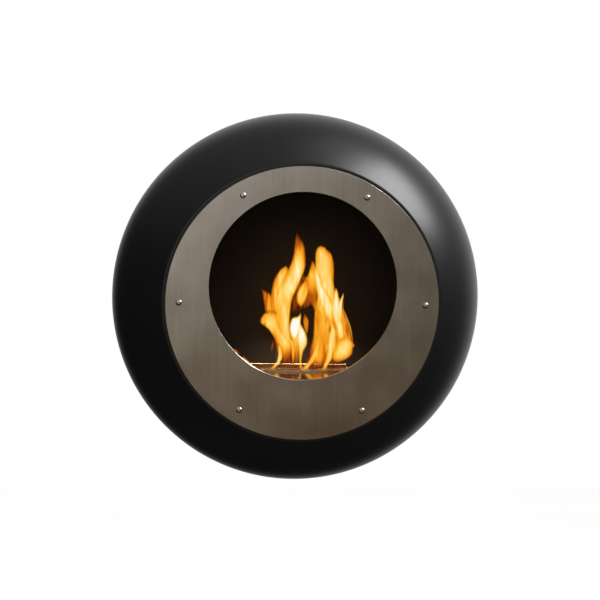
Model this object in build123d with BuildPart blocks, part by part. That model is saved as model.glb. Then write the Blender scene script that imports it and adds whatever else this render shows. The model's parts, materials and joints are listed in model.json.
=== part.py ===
from build123d import *
import os
from math import asin, degrees, sqrt

# Wall-mounted bioethanol fireplace, in millimetres.
# X is to the right, Y into the wall and Z up. The origin is on the wall, on the axis of the round
# body, which is also the middle of the wall bracket's four holes.
# "Out" is the distance of a face from the wall, towards the room: a face at out lies at Y = -out.
# The body is two spun half shells bolted together at their widest. A round fire chamber goes in
# through the mouth, its flange is held between the shell and the trim plate, and the burner lies
# on the chamber's floor and lifts out. A plate in rails slides over the burner's slot to shut it.

# Half shells
body_diameter = 600.0  # widest, at the seam of the two half shells
front_depth = 110.0  # seam to the flat face around the mouth
rear_depth = 97.0  # seam to the flat back
shell_sheet = 2.0
back_flat_diameter = 480.0
dome_bend = 6.0  # outer radius where the dome meets its flat face
folded_edge = 0.8  # bevel that stands for a tight fold around a spun part
seam_flange = 28.0  # width of the flange folded in at the seam
seam_bolt_inset = 16.0  # outside of the body to the seam bolts
seam_bolt_count = 8
seam_bolt_start = 22.5  # degrees

# Mouth, trim plate and gasket
# The sizes go outwards from the opening: chamber, mouth, screws, edge of the trim plate.
opening_diameter = 295.0
opening_rise = 27.5  # opening's centre above the axis of the body
opening_reveal = 4.0  # top of the opening to the chamber wall
mouth_land = 12.0  # edge of the mouth to the trim screws
screw_inset = 21.0  # trim screws to the trim plate's edge
screw_count = 6
mouth_ledge = 5.0  # flat of the shell left bare around the trim plate
trim_sheet = 3.0
trim_edge = 0.6  # bevel on the trim plate's front edges
flange_setback = 7.0  # chamber flange and gasket inside the trim plate's edge
gasket_sheet = 1.5

# Fire chamber
chamber_sheet = 1.5
mouth_clearance = 1.5  # chamber wall to the edge of the mouth
floor_below_opening = 5.0
floor_sheet = 2.0
floor_skirt = 14.0  # height of the floor's folded front and rear edges
floor_front_gap = 1.0  # floor to the face of the mouth
foot_width = 18.0  # chamber wall's feet under the floor
side_gap = 1.0  # chamber wall to the floor's sides
rear_flange = 12.0  # chamber wall's flange under the back panel
fold = 1.5  # inner radius of the folds in chamber and floor

# Heat shield
shield_diameter = 310.0
shield_sheet = 1.0
shield_rim = 6.0
shield_gap = 12.0  # rear shell to shield
chamber_gap = 9.0  # shield to chamber back
stud_inset = 35.0  # heat shield's edge to its studs
stud_count = 4
stud_start = 45.0  # degrees
spacer_wall = 2.4

# Burner
burner_sheet = 1.5
burner_side_gap = 2.5  # floor screw heads to the burner's top plate
burner_front_gap = 4.0  # burner's top plate to the floor's front edge
burner_rear_land = 14.0  # top plate behind the slot
slot_setback = 18.5  # chamber's rear to the slot
slot_corner = 3.0
runner_height = 2.0  # rim around the slot, on which the shutter slides
rear_stop_height = 7.0  # taller rim behind the slot, which stops the shutter
tank_depth = 65.0
tank_lip = 2.0  # tank wall outside the slot
tank_corner = 8.0
tank_bend = 3.0  # outer radius around the tank's bottom
tank_clearance = 2.0  # tank to the cut-out in the floor
wool_drop = 12.0  # top plate to the ceramic wool
wool_clearance = 0.5
mesh_sheet = 1.0
mesh_columns = 8
mesh_rows = 3
mesh_bar = 4.0
lift_clearance = 5.0  # tank over the floor at the top of the burner's lift

# Shutter and its rails
shutter_sheet = 1.5
shutter_hem = 3.3  # rear edge turned up
shutter_lap = 2.0  # shutter past the slot's front rim when shut
runner_lap = 2.5  # shutter past the runners at its sides
slide_gap = 0.2  # shutter to the runners under it and to the lips over it
rail_gap = 0.4  # shutter to the rails at its sides
stop_gap = 0.3  # shutter to its stops
park_clearance = 1.0  # slot to the parked shutter
rail_sheet = 1.2
tight_fold = 0.5  # inner radius of the folds in rails and shutter
front_stop_width = 120.0
rail_foot = 9.0
rail_lip = 5.5
rail_inset = 1.5  # rails inside the top plate's side edges
hem_clearance = 1.5  # hem and rear stop inside the rail lips
tool_hole_radius = 4.0
tool_hole_inset = 11.0

# Wall bracket and cleat
wall_gap = 12.0  # wall to the body's flat back
bracket_sheet = 2.5
bracket_fold = 1.0  # inner radius of the folds in bracket and cleat
bolt_spacing_x = 260.0
bolt_spacing_z = 120.0
wall_hole_radius = 3.25
bracket_margin = 15.0  # wall holes to the bracket's edges
bracket_corner = 8.0
hook_gap = 5.5  # wall to the hook's inner face
hook_height = 14.0
hook_clearance = 0.25  # cleat to the hook's inner face
seat_clearance = 0.3  # cleat to the hook's floor
lift_room = 2.0  # cleat above the hook at the top of the lift
cleat_flange = 40.0
cleat_rise = 32.0  # hook's floor to the cleat's fold
cleat_lead_in = 0.6
cleat_bolt_spacing = 84.0
cleat_bolt_count = 4
doubler_sheet = 2.0
doubler_margin = 4.0  # doubler inside the cleat flange's edges
washer_sheet = 1.6
washer_radius = 6.0

# Rubber buffers on the back
buffer_radius = 12.0
buffer_tip_radius = 9.0
buffer_inset = 65.0  # edge of the flat back to the buffers
buffer_spread = 62.0  # degrees from one buffer to the other
buffer_stem_radius = 3.9
buffer_bulb_radius = 5.2
buffer_bulb_length = 4.0
buffer_hole_clearance = 0.1

# Fasteners: thread sizes, and what scales with the thread
trim_thread = 5.0
seam_thread = 5.0
stud_thread = 5.0
cleat_thread = 6.0
floor_thread = 4.0
thread_relief = 0.1  # shank drawn this much under the thread's radius
hole_clearance = 0.25  # hole over the thread's radius
nut_fit = 0.05  # nut bore over the shank's radius
head_ratio = 0.95  # button head's radius to the thread
head_height_ratio = 0.55
head_rim_ratio = 0.1  # upright rim under the button head's dome
head_flat_ratio = 0.4
socket_ratio = 0.6  # hexagon socket across its flats
socket_depth_ratio = 0.3
nut_width_ratio = 1.6
nut_height_ratio = 0.8
bolt_head_ratio = 0.65  # height of a hexagon bolt's head to the thread
thread_end = 2.0  # screw past its nut
rivet_radius = 2.0
rivet_head_radius = 4.0
rivet_head_height = 1.0
rivet_tail_radius = 3.0
rivet_tail_length = 2.0
rivet_fit = 0.1
rivet_steps = 7
rivet_floor_angle = 8.0  # degrees from the floor to the lowest rivets
floor_rivet_spacing = 120.0
floor_screw_end_gap = 22.0  # floor's ends to its screws

# Depths, as distances out from the wall
back_out = wall_gap
back_inner_out = back_out + shell_sheet
seam_out = back_out + rear_depth
mouth_out = seam_out + front_depth
mouth_inner_out = mouth_out - shell_sheet
flange_out = mouth_out + chamber_sheet
gasket_out = flange_out + gasket_sheet
trim_out = gasket_out + trim_sheet
shield_out = back_inner_out + shield_gap
shield_front_out = shield_out + shield_sheet
chamber_back_out = shield_front_out + chamber_gap
chamber_rear_out = chamber_back_out + chamber_sheet
floor_front_out = mouth_out - floor_front_gap

# Radii of the body, the mouth and the chamber
body_radius = body_diameter / 2
back_flat_radius = back_flat_diameter / 2
opening_radius = opening_diameter / 2
chamber_inner_radius = opening_radius + opening_rise + opening_reveal
chamber_radius = chamber_inner_radius + chamber_sheet
mouth_radius = chamber_radius + mouth_clearance
screw_circle = mouth_radius + mouth_land
trim_radius = screw_circle + screw_inset
mouth_flat_radius = trim_radius + mouth_ledge
flange_radius = trim_radius - flange_setback
shield_radius = shield_diameter / 2
stud_circle = shield_radius - stud_inset
seam_bolt_circle = body_radius - seam_bolt_inset
rivet_circle = chamber_inner_radius - rear_flange / 2
buffer_circle = back_flat_radius - buffer_inset

# Heights
floor_top = opening_rise - opening_radius - floor_below_opening
floor_bottom = floor_top - floor_sheet
burner_top_face = floor_top + burner_sheet
runner_top = burner_top_face + runner_height
shutter_bottom = runner_top + slide_gap
shutter_top = shutter_bottom + shutter_sheet
tank_bottom = floor_top - tank_depth
wool_top = floor_top - wool_drop

# Widths across the chamber floor, as half widths from the axis
floor_chord = sqrt(chamber_inner_radius**2 - floor_bottom**2)
floor_half = floor_chord - side_gap
foot_inner = floor_chord - foot_width
floor_screw_x = floor_chord - foot_width / 2
burner_half = floor_screw_x - head_ratio * floor_thread - burner_side_gap
rail_foot_half = burner_half - rail_inset
rail_inner = rail_foot_half - rail_foot - rail_sheet
shutter_half = rail_inner - rail_gap
runner_outer = shutter_half - runner_lap
slot_half = runner_outer - burner_sheet
rail_lip_half = rail_inner - rail_lip
hem_half = rail_lip_half - hem_clearance
tank_inner_half = slot_half + tank_lip
tank_half = tank_inner_half + burner_sheet

# Depths along the burner: the slot and the parked shutter share the length of the top plate
slot_rear_out = chamber_rear_out + slot_setback
burner_rear_out = slot_rear_out - burner_rear_land
burner_front_out = floor_front_out - burner_front_gap
front_stop_out = burner_front_out - burner_sheet
shared_length = front_stop_out - stop_gap - slot_rear_out
rims_and_gaps = park_clearance + burner_sheet + shutter_lap - stop_gap
slot_depth = (shared_length - rims_and_gaps) / 2
slot_front_out = slot_rear_out + slot_depth
slot_middle_out = (slot_rear_out + slot_front_out) / 2
shutter_rear_out = slot_front_out + park_clearance
shutter_front_out = front_stop_out - stop_gap
shutter_length = shutter_front_out - shutter_rear_out
shutter_travel = shutter_rear_out - slot_rear_out - stop_gap
tank_inner_depth = slot_depth + 2 * tank_lip
tank_outer_depth = tank_inner_depth + 2 * burner_sheet
burner_lift = tank_depth + lift_clearance

# Wall bracket, hook and cleat
bracket_width = bolt_spacing_x + 2 * bracket_margin
bracket_half_height = bolt_spacing_z / 2 + bracket_margin
hook_floor = bracket_half_height
hook_top = hook_floor + hook_height
hook_out = hook_gap + bracket_sheet
cleat_leg_out = hook_gap - hook_clearance
cleat_leg_bottom = hook_floor + seat_clearance
cleat_fold = hook_floor + cleat_rise
cleat_bottom = cleat_fold + bracket_sheet
cleat_top = cleat_bottom + cleat_flange
cleat_bolt_z = cleat_bottom + cleat_flange / 2
cleat_back_out = back_out - bracket_sheet
doubler_out = back_inner_out + doubler_sheet
hang_lift = hook_height + lift_room


# Planes: parallel to the wall facing the room or the wall, and through the axis for spun parts
def facing_room(out):
    return Plane.XZ.offset(out)


def facing_wall(out):
    return Plane(origin=(0, -out, 0), x_dir=(1, 0, 0), z_dir=(0, 1, 0))


def side_section(half_width):
    # In this plane a point is (out, height), and the part is extruded from right to left.
    return Plane(origin=(half_width, 0, 0), x_dir=(0, -1, 0), z_dir=(-1, 0, 0))


# In this plane a point is (radius, out), for parts spun about the body's axis.
spin_plane = Plane(origin=(0, 0, 0), x_dir=(1, 0, 0), z_dir=(0, 0, -1))


# A folded sheet in a sketch: the sheet lies to the right of the line through the points
def folded_sheet(points, sheet, inner_radius):
    radii = []
    for before, corner, after in zip(points, points[1:], points[2:]):
        come = (corner[0] - before[0], corner[1] - before[1])
        leave = (after[0] - corner[0], after[1] - corner[1])
        turns_right = come[0] * leave[1] - come[1] * leave[0] < 0
        radii.append(inner_radius + sheet if turns_right else inner_radius)
    with BuildSketch() as section:
        with BuildLine():
            FilletPolyline(*points, radius=radii)
            offset(amount=sheet, side=Side.RIGHT)
        make_face()
    return section.sketch


# Circular edges at one radius and depth, for folds and chamfers on spun parts
def rings(part, radius, out, slack=0.3):
    circles = part.edges().filter_by(GeomType.CIRCLE)
    return [e for e in circles if abs(e.radius - radius) < slack and abs(e.center().Y + out) < slack]


# Fasteners, each drawn along Z with the underside of its head, or its lower face, at Z = 0
def shank_radius(thread):
    return thread / 2 - thread_relief


def hole_radius(thread):
    return thread / 2 + hole_clearance


def nut_height(thread):
    return thread * nut_height_ratio


def button_screw(thread, length):
    shank = shank_radius(thread)
    head = thread * head_ratio
    rim = thread * head_rim_ratio
    height = thread * head_height_ratio
    flat = thread * head_flat_ratio
    with BuildPart() as screw:
        with BuildSketch(Plane.XZ):
            with BuildLine():
                Polyline((0, height), (0, -length), (shank, -length), (shank, 0), (head, 0), (head, rim))
                RadiusArc((head, rim), (flat, height), -head)
                Line((flat, height), (0, height))
            make_face()
        revolve(axis=Axis.Z)
        with BuildSketch(Plane.XY.offset(height)):
            RegularPolygon(thread * socket_ratio / 2, 6, major_radius=False)
        extrude(amount=-thread * socket_depth_ratio, mode=Mode.SUBTRACT)
    return screw.part


def hex_bolt(thread, length):
    with BuildPart() as bolt:
        with BuildSketch():
            RegularPolygon(thread * nut_width_ratio / 2, 6, major_radius=False)
        extrude(amount=thread * bolt_head_ratio)
        with BuildSketch():
            Circle(shank_radius(thread))
        extrude(amount=-length)
    return bolt.part


def nut(thread):
    with BuildPart() as hexagon:
        with BuildSketch():
            RegularPolygon(thread * nut_width_ratio / 2, 6, major_radius=False)
            Circle(shank_radius(thread) + nut_fit, mode=Mode.SUBTRACT)
        extrude(amount=nut_height(thread))
    return hexagon.part


def blind_rivet(grip):
    with BuildPart() as rivet:
        with BuildSketch(Plane.XZ):
            with BuildLine():
                Polyline(
                    (0, rivet_head_height),
                    (0, -grip - rivet_tail_length),
                    (rivet_tail_radius, -grip - rivet_tail_length),
                    (rivet_tail_radius, -grip),
                    (rivet_radius, -grip),
                    (rivet_radius, 0),
                    (rivet_head_radius, 0),
                    (rivet_radius, rivet_head_height),
                    close=True,
                )
            make_face()
        revolve(axis=Axis.Z)
    return rivet.part


os.makedirs("parts", exist_ok=True)


def save(builder, label):
    builder.part.label = label
    export_step(builder.part, f"parts/{label}.step")


# Half shells: a flat face, an elliptical dome and a flange folded in at the seam
def half_shell_section(depth, flat_radius, inner_edge, flat_out, towards_room):
    # The dome is a quarter of an ellipse centred on the seam. Its depth is such that it meets the
    # flat face at the flat's edge.
    side = 1 if towards_room else -1
    dome = depth / sqrt(1 - (flat_radius / body_radius) ** 2)
    inner_radius = body_radius - shell_sheet
    inner_dome = dome - shell_sheet
    inner_flat = inner_radius * sqrt(1 - ((depth - shell_sheet) / inner_dome) ** 2)
    inner_fold = inner_radius * sqrt(1 - (shell_sheet / inner_dome) ** 2)
    outer_angle = degrees(asin(depth / dome))
    inner_start = degrees(asin(shell_sheet / inner_dome))
    inner_angle = degrees(asin((depth - shell_sheet) / inner_dome))
    flange_edge = body_radius - seam_flange
    inner_out = flat_out - side * shell_sheet
    fold_out = seam_out + side * shell_sheet
    with BuildSketch() as section:
        with BuildLine():
            Line((flange_edge, seam_out), (body_radius, seam_out))
            EllipticalCenterArc((0, seam_out), body_radius, dome, 0, arc_size=side * outer_angle)
            Polyline(
                (flat_radius, flat_out),
                (inner_edge, flat_out),
                (inner_edge, inner_out),
                (inner_flat, inner_out),
            )
            EllipticalCenterArc(
                (0, seam_out),
                inner_radius,
                inner_dome,
                side * inner_start,
                arc_size=side * (inner_angle - inner_start),
            )
            Polyline((inner_fold, fold_out), (flange_edge, fold_out), (flange_edge, seam_out))
        make_face()
    return section.sketch


front_section = half_shell_section(front_depth, mouth_flat_radius, mouth_radius, mouth_out, True)
rear_section = half_shell_section(rear_depth, back_flat_radius, 0, back_out, False)

with BuildPart() as front_shell:
    with BuildSketch(spin_plane):
        add(front_section)
    revolve(axis=Axis.Y)
    fillet(rings(front_shell, mouth_flat_radius, mouth_out), dome_bend)
    chamfer(rings(front_shell, body_radius, seam_out), folded_edge)
    with Locations(facing_room(mouth_out)):
        with PolarLocations(screw_circle, screw_count):
            Hole(hole_radius(trim_thread), depth=2 * shell_sheet)
    with Locations(facing_room(seam_out)):
        with PolarLocations(seam_bolt_circle, seam_bolt_count, start_angle=seam_bolt_start):
            Hole(hole_radius(seam_thread), depth=2 * shell_sheet)
save(front_shell, "front_shell")

with BuildPart() as rear_shell:
    with BuildSketch(spin_plane):
        add(rear_section)
    revolve(axis=Axis.Y)
    fillet(rings(rear_shell, back_flat_radius, back_out), dome_bend)
    chamfer(rings(rear_shell, body_radius, seam_out), folded_edge)
    with Locations(facing_room(seam_out)):
        with PolarLocations(seam_bolt_circle, seam_bolt_count, start_angle=seam_bolt_start):
            Hole(hole_radius(seam_thread), depth=2 * shell_sheet)
    with BuildSketch(facing_room(back_out)):
        with Locations((0, cleat_bolt_z)):
            with GridLocations(cleat_bolt_spacing, 0, cleat_bolt_count, 1):
                Circle(hole_radius(cleat_thread))
        with PolarLocations(buffer_circle, 2, -90 - buffer_spread / 2, buffer_spread, endpoint=True):
            Circle(buffer_stem_radius + buffer_hole_clearance)
    extrude(amount=shell_sheet, mode=Mode.SUBTRACT)
save(rear_shell, "rear_shell")


# Bolts and nuts of the seam, all inside the body
seam_grip = 2 * shell_sheet
seam_bolt = hex_bolt(seam_thread, seam_grip + nut_height(seam_thread) + thread_end)
seam_nut = nut(seam_thread)

with BuildPart() as seam_bolts:
    with Locations(facing_room(seam_out + shell_sheet)):
        with PolarLocations(seam_bolt_circle, seam_bolt_count, start_angle=seam_bolt_start):
            add(seam_bolt)
save(seam_bolts, "seam_bolts")

with BuildPart() as seam_nuts:
    with Locations(facing_wall(seam_out - shell_sheet)):
        with PolarLocations(seam_bolt_circle, seam_bolt_count, start_angle=seam_bolt_start):
            add(seam_nut)
save(seam_nuts, "seam_nuts")


# Trim plate: a flat ring whose opening sits high, so that its band is widest below
with BuildPart() as trim_plate:
    with BuildSketch(facing_room(gasket_out)):
        Circle(trim_radius)
        with Locations((0, opening_rise)):
            Circle(opening_radius, mode=Mode.SUBTRACT)
        with PolarLocations(screw_circle, screw_count):
            Circle(hole_radius(trim_thread), mode=Mode.SUBTRACT)
    extrude(amount=trim_sheet)
    chamfer(rings(trim_plate, trim_radius, trim_out), trim_edge)
    chamfer(rings(trim_plate, opening_radius, trim_out), trim_edge)
save(trim_plate, "trim_plate")

trim_grip = trim_sheet + gasket_sheet + chamber_sheet + shell_sheet
trim_screw = button_screw(trim_thread, trim_grip + nut_height(trim_thread) + thread_end)
trim_nut = nut(trim_thread)

with BuildPart() as trim_screws:
    with Locations(facing_room(trim_out)):
        with PolarLocations(screw_circle, screw_count):
            add(trim_screw)
save(trim_screws, "trim_screws")

with BuildPart() as mouth_nuts:
    with Locations(facing_wall(mouth_inner_out)):
        with PolarLocations(screw_circle, screw_count):
            add(trim_nut)
save(mouth_nuts, "mouth_nuts")

with BuildPart() as mouth_gasket:
    with BuildSketch(facing_room(flange_out)):
        Circle(flange_radius)
        Circle(mouth_radius, mode=Mode.SUBTRACT)
        with PolarLocations(screw_circle, screw_count):
            Circle(hole_radius(trim_thread), mode=Mode.SUBTRACT)
    extrude(amount=gasket_sheet)
save(mouth_gasket, "mouth_gasket")


# Chamber wall: a barrel open below, with feet under the floor, a flange under the trim plate
# and a narrower one under the back panel
corner_angle = degrees(asin(-floor_bottom / chamber_inner_radius))
rivet_low_angle = degrees(asin(floor_top / rivet_circle)) + rivet_floor_angle
rivet_range = 180 - 2 * rivet_low_angle
rivet_count = rivet_steps + 1
skirt_bottom = floor_top - floor_skirt
floor_rivet_z = (skirt_bottom + floor_bottom - fold) / 2
disc_span = 2 * chamber_radius
floor_middle_out = (chamber_rear_out + floor_front_out) / 2
floor_depth = floor_front_out - chamber_rear_out
floor_screw_pitch = floor_depth - 2 * floor_screw_end_gap

with BuildPart() as chamber_wall:
    with BuildSketch(facing_room(chamber_rear_out)):
        with BuildLine() as barrel_line:
            barrel_arc = CenterArc((0, 0), chamber_inner_radius, -corner_angle, 180 + 2 * corner_angle)
            Line((foot_inner, floor_bottom), barrel_arc @ 0)
            Line(barrel_arc @ 1, (-foot_inner, floor_bottom))
            fillet(barrel_line.vertices().group_by(SortBy.DISTANCE)[-1], fold)
            offset(amount=chamber_sheet, side=Side.RIGHT)
        make_face()
    extrude(amount=flange_out - chamber_rear_out)
    with BuildSketch(facing_room(mouth_out)):
        Circle(flange_radius)
        Circle(chamber_inner_radius, mode=Mode.SUBTRACT)
        with PolarLocations(screw_circle, screw_count):
            Circle(hole_radius(trim_thread), mode=Mode.SUBTRACT)
    extrude(amount=chamber_sheet)
    with BuildSketch(facing_room(chamber_rear_out)):
        Circle(chamber_radius)
        Circle(chamber_inner_radius - rear_flange, mode=Mode.SUBTRACT)
        with Locations((0, floor_top + side_gap)):
            Rectangle(disc_span, disc_span, align=(Align.CENTER, Align.MAX), mode=Mode.SUBTRACT)
        with PolarLocations(rivet_circle, rivet_count, rivet_low_angle, rivet_range, endpoint=True):
            Circle(rivet_radius + rivet_fit, mode=Mode.SUBTRACT)
    extrude(amount=chamber_sheet)
    with BuildSketch(Plane.XY.offset(floor_bottom)):
        with Locations((0, -floor_middle_out)):
            with GridLocations(2 * floor_screw_x, floor_screw_pitch, 2, 2):
                Circle(hole_radius(floor_thread))
    extrude(amount=-chamber_sheet, mode=Mode.SUBTRACT)
save(chamber_wall, "chamber_wall")

with BuildPart() as chamber_back:
    with BuildSketch(facing_room(chamber_back_out)):
        Circle(chamber_radius)
        with Locations((0, skirt_bottom)):
            Rectangle(disc_span, disc_span, align=(Align.CENTER, Align.MAX), mode=Mode.SUBTRACT)
        with PolarLocations(rivet_circle, rivet_count, rivet_low_angle, rivet_range, endpoint=True):
            Circle(rivet_radius + rivet_fit, mode=Mode.SUBTRACT)
        with Locations((0, floor_rivet_z)):
            with GridLocations(floor_rivet_spacing, 0, 2, 1):
                Circle(rivet_radius + rivet_fit, mode=Mode.SUBTRACT)
    extrude(amount=chamber_sheet)
save(chamber_back, "chamber_back")

# Chamber floor: a tray turned upside down, with a cut-out that the burner's tank drops through
floor_bend = floor_sheet + fold
skirt_half = foot_inner - side_gap
floor_wing = floor_half - skirt_half
floor_section = folded_sheet(
    [
        (chamber_rear_out, skirt_bottom),
        (chamber_rear_out, floor_top),
        (floor_front_out, floor_top),
        (floor_front_out, skirt_bottom),
    ],
    floor_sheet,
    fold,
)

with BuildPart() as chamber_floor:
    with BuildSketch(side_section(skirt_half)):
        add(floor_section)
    extrude(amount=2 * skirt_half)
    with BuildSketch(Plane.XY.offset(floor_bottom)):
        with Locations((0, -floor_middle_out)):
            with GridLocations(2 * skirt_half + floor_wing, 0, 2, 1):
                Rectangle(floor_wing, floor_depth - 2 * floor_bend)
    extrude(amount=floor_sheet)
    with BuildSketch(Plane.XY.offset(floor_top)):
        with Locations((0, -slot_middle_out)):
            RectangleRounded(
                2 * (tank_half + tank_clearance),
                tank_outer_depth + 2 * tank_clearance,
                tank_corner + tank_clearance,
            )
        with Locations((0, -floor_middle_out)):
            with GridLocations(2 * floor_screw_x, floor_screw_pitch, 2, 2):
                Circle(hole_radius(floor_thread))
    extrude(amount=-floor_sheet, mode=Mode.SUBTRACT)
    with BuildSketch(facing_room(chamber_rear_out)):
        with Locations((0, floor_rivet_z)):
            with GridLocations(floor_rivet_spacing, 0, 2, 1):
                Circle(rivet_radius + rivet_fit)
    extrude(amount=floor_sheet, mode=Mode.SUBTRACT)
save(chamber_floor, "chamber_floor")

wall_rivet = blind_rivet(2 * chamber_sheet)
skirt_rivet = blind_rivet(floor_sheet + chamber_sheet)

with BuildPart() as chamber_rivets:
    with Locations(facing_room(chamber_rear_out + chamber_sheet)):
        with PolarLocations(rivet_circle, rivet_count, rivet_low_angle, rivet_range, endpoint=True):
            add(wall_rivet)
    with Locations(facing_room(chamber_rear_out + floor_sheet)):
        with Locations((0, floor_rivet_z)):
            with GridLocations(floor_rivet_spacing, 0, 2, 1):
                add(skirt_rivet)
save(chamber_rivets, "chamber_rivets")

floor_grip = floor_sheet + chamber_sheet
floor_screw = button_screw(floor_thread, floor_grip + nut_height(floor_thread) + thread_end)
floor_nut = nut(floor_thread)

with BuildPart() as floor_screws:
    with Locations((0, -floor_middle_out, floor_top)):
        with GridLocations(2 * floor_screw_x, floor_screw_pitch, 2, 2):
            add(floor_screw)
save(floor_screws, "floor_screws")

with BuildPart() as floor_nuts:
    with Locations((0, -floor_middle_out, floor_bottom - chamber_sheet - nut_height(floor_thread))):
        with GridLocations(2 * floor_screw_x, floor_screw_pitch, 2, 2):
            add(floor_nut)
save(floor_nuts, "floor_nuts")


# Heat shield: a shallow pan on welded studs between the chamber and the rear shell
with BuildPart() as heat_shield:
    with BuildSketch(facing_room(shield_front_out - shield_rim)):
        Circle(shield_radius)
    extrude(amount=shield_rim)
    chamfer(rings(heat_shield, shield_radius, shield_front_out), folded_edge)
    with BuildSketch(facing_room(shield_front_out - shield_rim)):
        Circle(shield_radius - shield_sheet)
    extrude(amount=shield_rim - shield_sheet, mode=Mode.SUBTRACT)
    with BuildSketch(facing_room(shield_out)):
        with PolarLocations(stud_circle, stud_count, start_angle=stud_start):
            Circle(hole_radius(stud_thread))
    extrude(amount=shield_sheet, mode=Mode.SUBTRACT)
save(heat_shield, "heat_shield")

with BuildPart() as shield_studs:
    with BuildSketch(facing_room(back_inner_out)):
        with PolarLocations(stud_circle, stud_count, start_angle=stud_start):
            Circle(shank_radius(stud_thread))
    extrude(amount=shield_gap + shield_sheet + nut_height(stud_thread) + thread_end)
save(shield_studs, "shield_studs")

with BuildPart() as shield_spacers:
    with BuildSketch(facing_room(back_inner_out)):
        with PolarLocations(stud_circle, stud_count, start_angle=stud_start):
            Circle(hole_radius(stud_thread) + spacer_wall)
            Circle(hole_radius(stud_thread), mode=Mode.SUBTRACT)
    extrude(amount=shield_gap)
save(shield_spacers, "shield_spacers")

shield_nut = nut(stud_thread)

with BuildPart() as shield_nuts:
    with Locations(facing_room(shield_front_out)):
        with PolarLocations(stud_circle, stud_count, start_angle=stud_start):
            add(shield_nut)
save(shield_nuts, "shield_nuts")


# Burner: a tank of ceramic wool under a top plate with a slot, all lifted out together
burner_middle_out = (burner_rear_out + burner_front_out) / 2
rim_rear_out = slot_rear_out - burner_sheet
runner_length = front_stop_out - rim_rear_out
runner_middle_out = (front_stop_out + rim_rear_out) / 2
bay_rear_out = slot_front_out + burner_sheet
bay_length = front_stop_out - bay_rear_out
front_stop_height = shutter_top - burner_top_face

with BuildPart() as burner_top:
    with BuildSketch(Plane(origin=(0, -burner_middle_out, floor_top))):
        RectangleRounded(2 * burner_half, burner_front_out - burner_rear_out, slot_corner)
    extrude(amount=burner_sheet)
    with BuildSketch(Plane(origin=(0, -runner_middle_out, burner_top_face))):
        Rectangle(2 * runner_outer, runner_length)
        with Locations((0, runner_middle_out - (front_stop_out + bay_rear_out) / 2)):
            Rectangle(2 * slot_half, bay_length, mode=Mode.SUBTRACT)
    extrude(amount=runner_height)
    with BuildSketch(Plane(origin=(0, -rim_rear_out, burner_top_face))):
        Rectangle(2 * hem_half, burner_sheet, align=(Align.CENTER, Align.MAX))
    extrude(amount=rear_stop_height)
    with BuildSketch(Plane(origin=(0, -front_stop_out, burner_top_face))):
        Rectangle(front_stop_width, burner_sheet, align=(Align.CENTER, Align.MAX))
    extrude(amount=front_stop_height)
    with BuildSketch(Plane(origin=(0, -slot_middle_out, runner_top))):
        RectangleRounded(2 * slot_half, slot_depth, slot_corner)
    extrude(amount=-runner_height - burner_sheet, mode=Mode.SUBTRACT)
save(burner_top, "burner_top")

with BuildPart() as burner_tank:
    with BuildSketch(Plane(origin=(0, -slot_middle_out, floor_top))):
        RectangleRounded(2 * tank_half, tank_outer_depth, tank_corner)
    extrude(amount=-tank_depth)
    fillet(burner_tank.faces().sort_by(Axis.Z)[0].edges(), tank_bend)
    offset(amount=-burner_sheet, openings=burner_tank.faces().sort_by(Axis.Z)[-1])
save(burner_tank, "burner_tank")

wool_width = 2 * (tank_inner_half - wool_clearance)
wool_depth = tank_inner_depth - 2 * wool_clearance
wool_corner = tank_corner - burner_sheet - wool_clearance

with BuildPart() as burner_wool:
    with BuildSketch(Plane(origin=(0, -slot_middle_out, tank_bottom + burner_sheet))):
        RectangleRounded(wool_width, wool_depth, wool_corner)
    extrude(amount=wool_top - tank_bottom - burner_sheet)
    fillet(burner_wool.faces().sort_by(Axis.Z)[0].edges(), tank_bend)
save(burner_wool, "burner_wool")

mesh_pitch_x = (wool_width - mesh_bar) / mesh_columns
mesh_pitch_y = (wool_depth - mesh_bar) / mesh_rows

with BuildPart() as burner_mesh:
    with BuildSketch(Plane(origin=(0, -slot_middle_out, wool_top))):
        RectangleRounded(wool_width, wool_depth, wool_corner)
        with GridLocations(mesh_pitch_x, mesh_pitch_y, mesh_columns, mesh_rows):
            Rectangle(mesh_pitch_x - mesh_bar, mesh_pitch_y - mesh_bar, mode=Mode.SUBTRACT)
    extrude(amount=mesh_sheet)
save(burner_mesh, "burner_mesh")


# Shutter and rails: the plate slides on the runners, its side edges under the rails' lips
rail_lip_bottom = shutter_top + slide_gap
rail_rear_out = burner_rear_out + rail_inset
rail_section = folded_sheet(
    [
        (rail_foot_half, burner_top_face),
        (rail_inner, burner_top_face),
        (rail_inner, rail_lip_bottom),
        (rail_lip_half, rail_lip_bottom),
    ],
    rail_sheet,
    tight_fold,
)

with BuildPart() as shutter_rails:
    with BuildSketch(facing_room(rail_rear_out)):
        add(rail_section)
    extrude(amount=front_stop_out - rail_rear_out)
    mirror(about=Plane.YZ)
save(shutter_rails, "shutter_rails")

shutter_section = folded_sheet(
    [
        (shutter_front_out, shutter_bottom),
        (shutter_rear_out, shutter_bottom),
        (shutter_rear_out, shutter_top + shutter_hem),
    ],
    shutter_sheet,
    tight_fold,
)
shutter_wing = shutter_half - hem_half

with BuildPart() as shutter:
    with BuildSketch(side_section(hem_half)):
        add(shutter_section)
    extrude(amount=2 * hem_half)
    with BuildSketch(Plane(origin=(0, -shutter_rear_out, shutter_bottom))):
        with GridLocations(2 * hem_half + shutter_wing, 0, 2, 1):
            Rectangle(shutter_wing, shutter_length, align=(Align.CENTER, Align.MAX))
    extrude(amount=shutter_sheet)
    with BuildSketch(Plane(origin=(0, tool_hole_inset - shutter_front_out, shutter_bottom))):
        Circle(tool_hole_radius)
    extrude(amount=shutter_sheet, mode=Mode.SUBTRACT)
save(shutter, "shutter")


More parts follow.
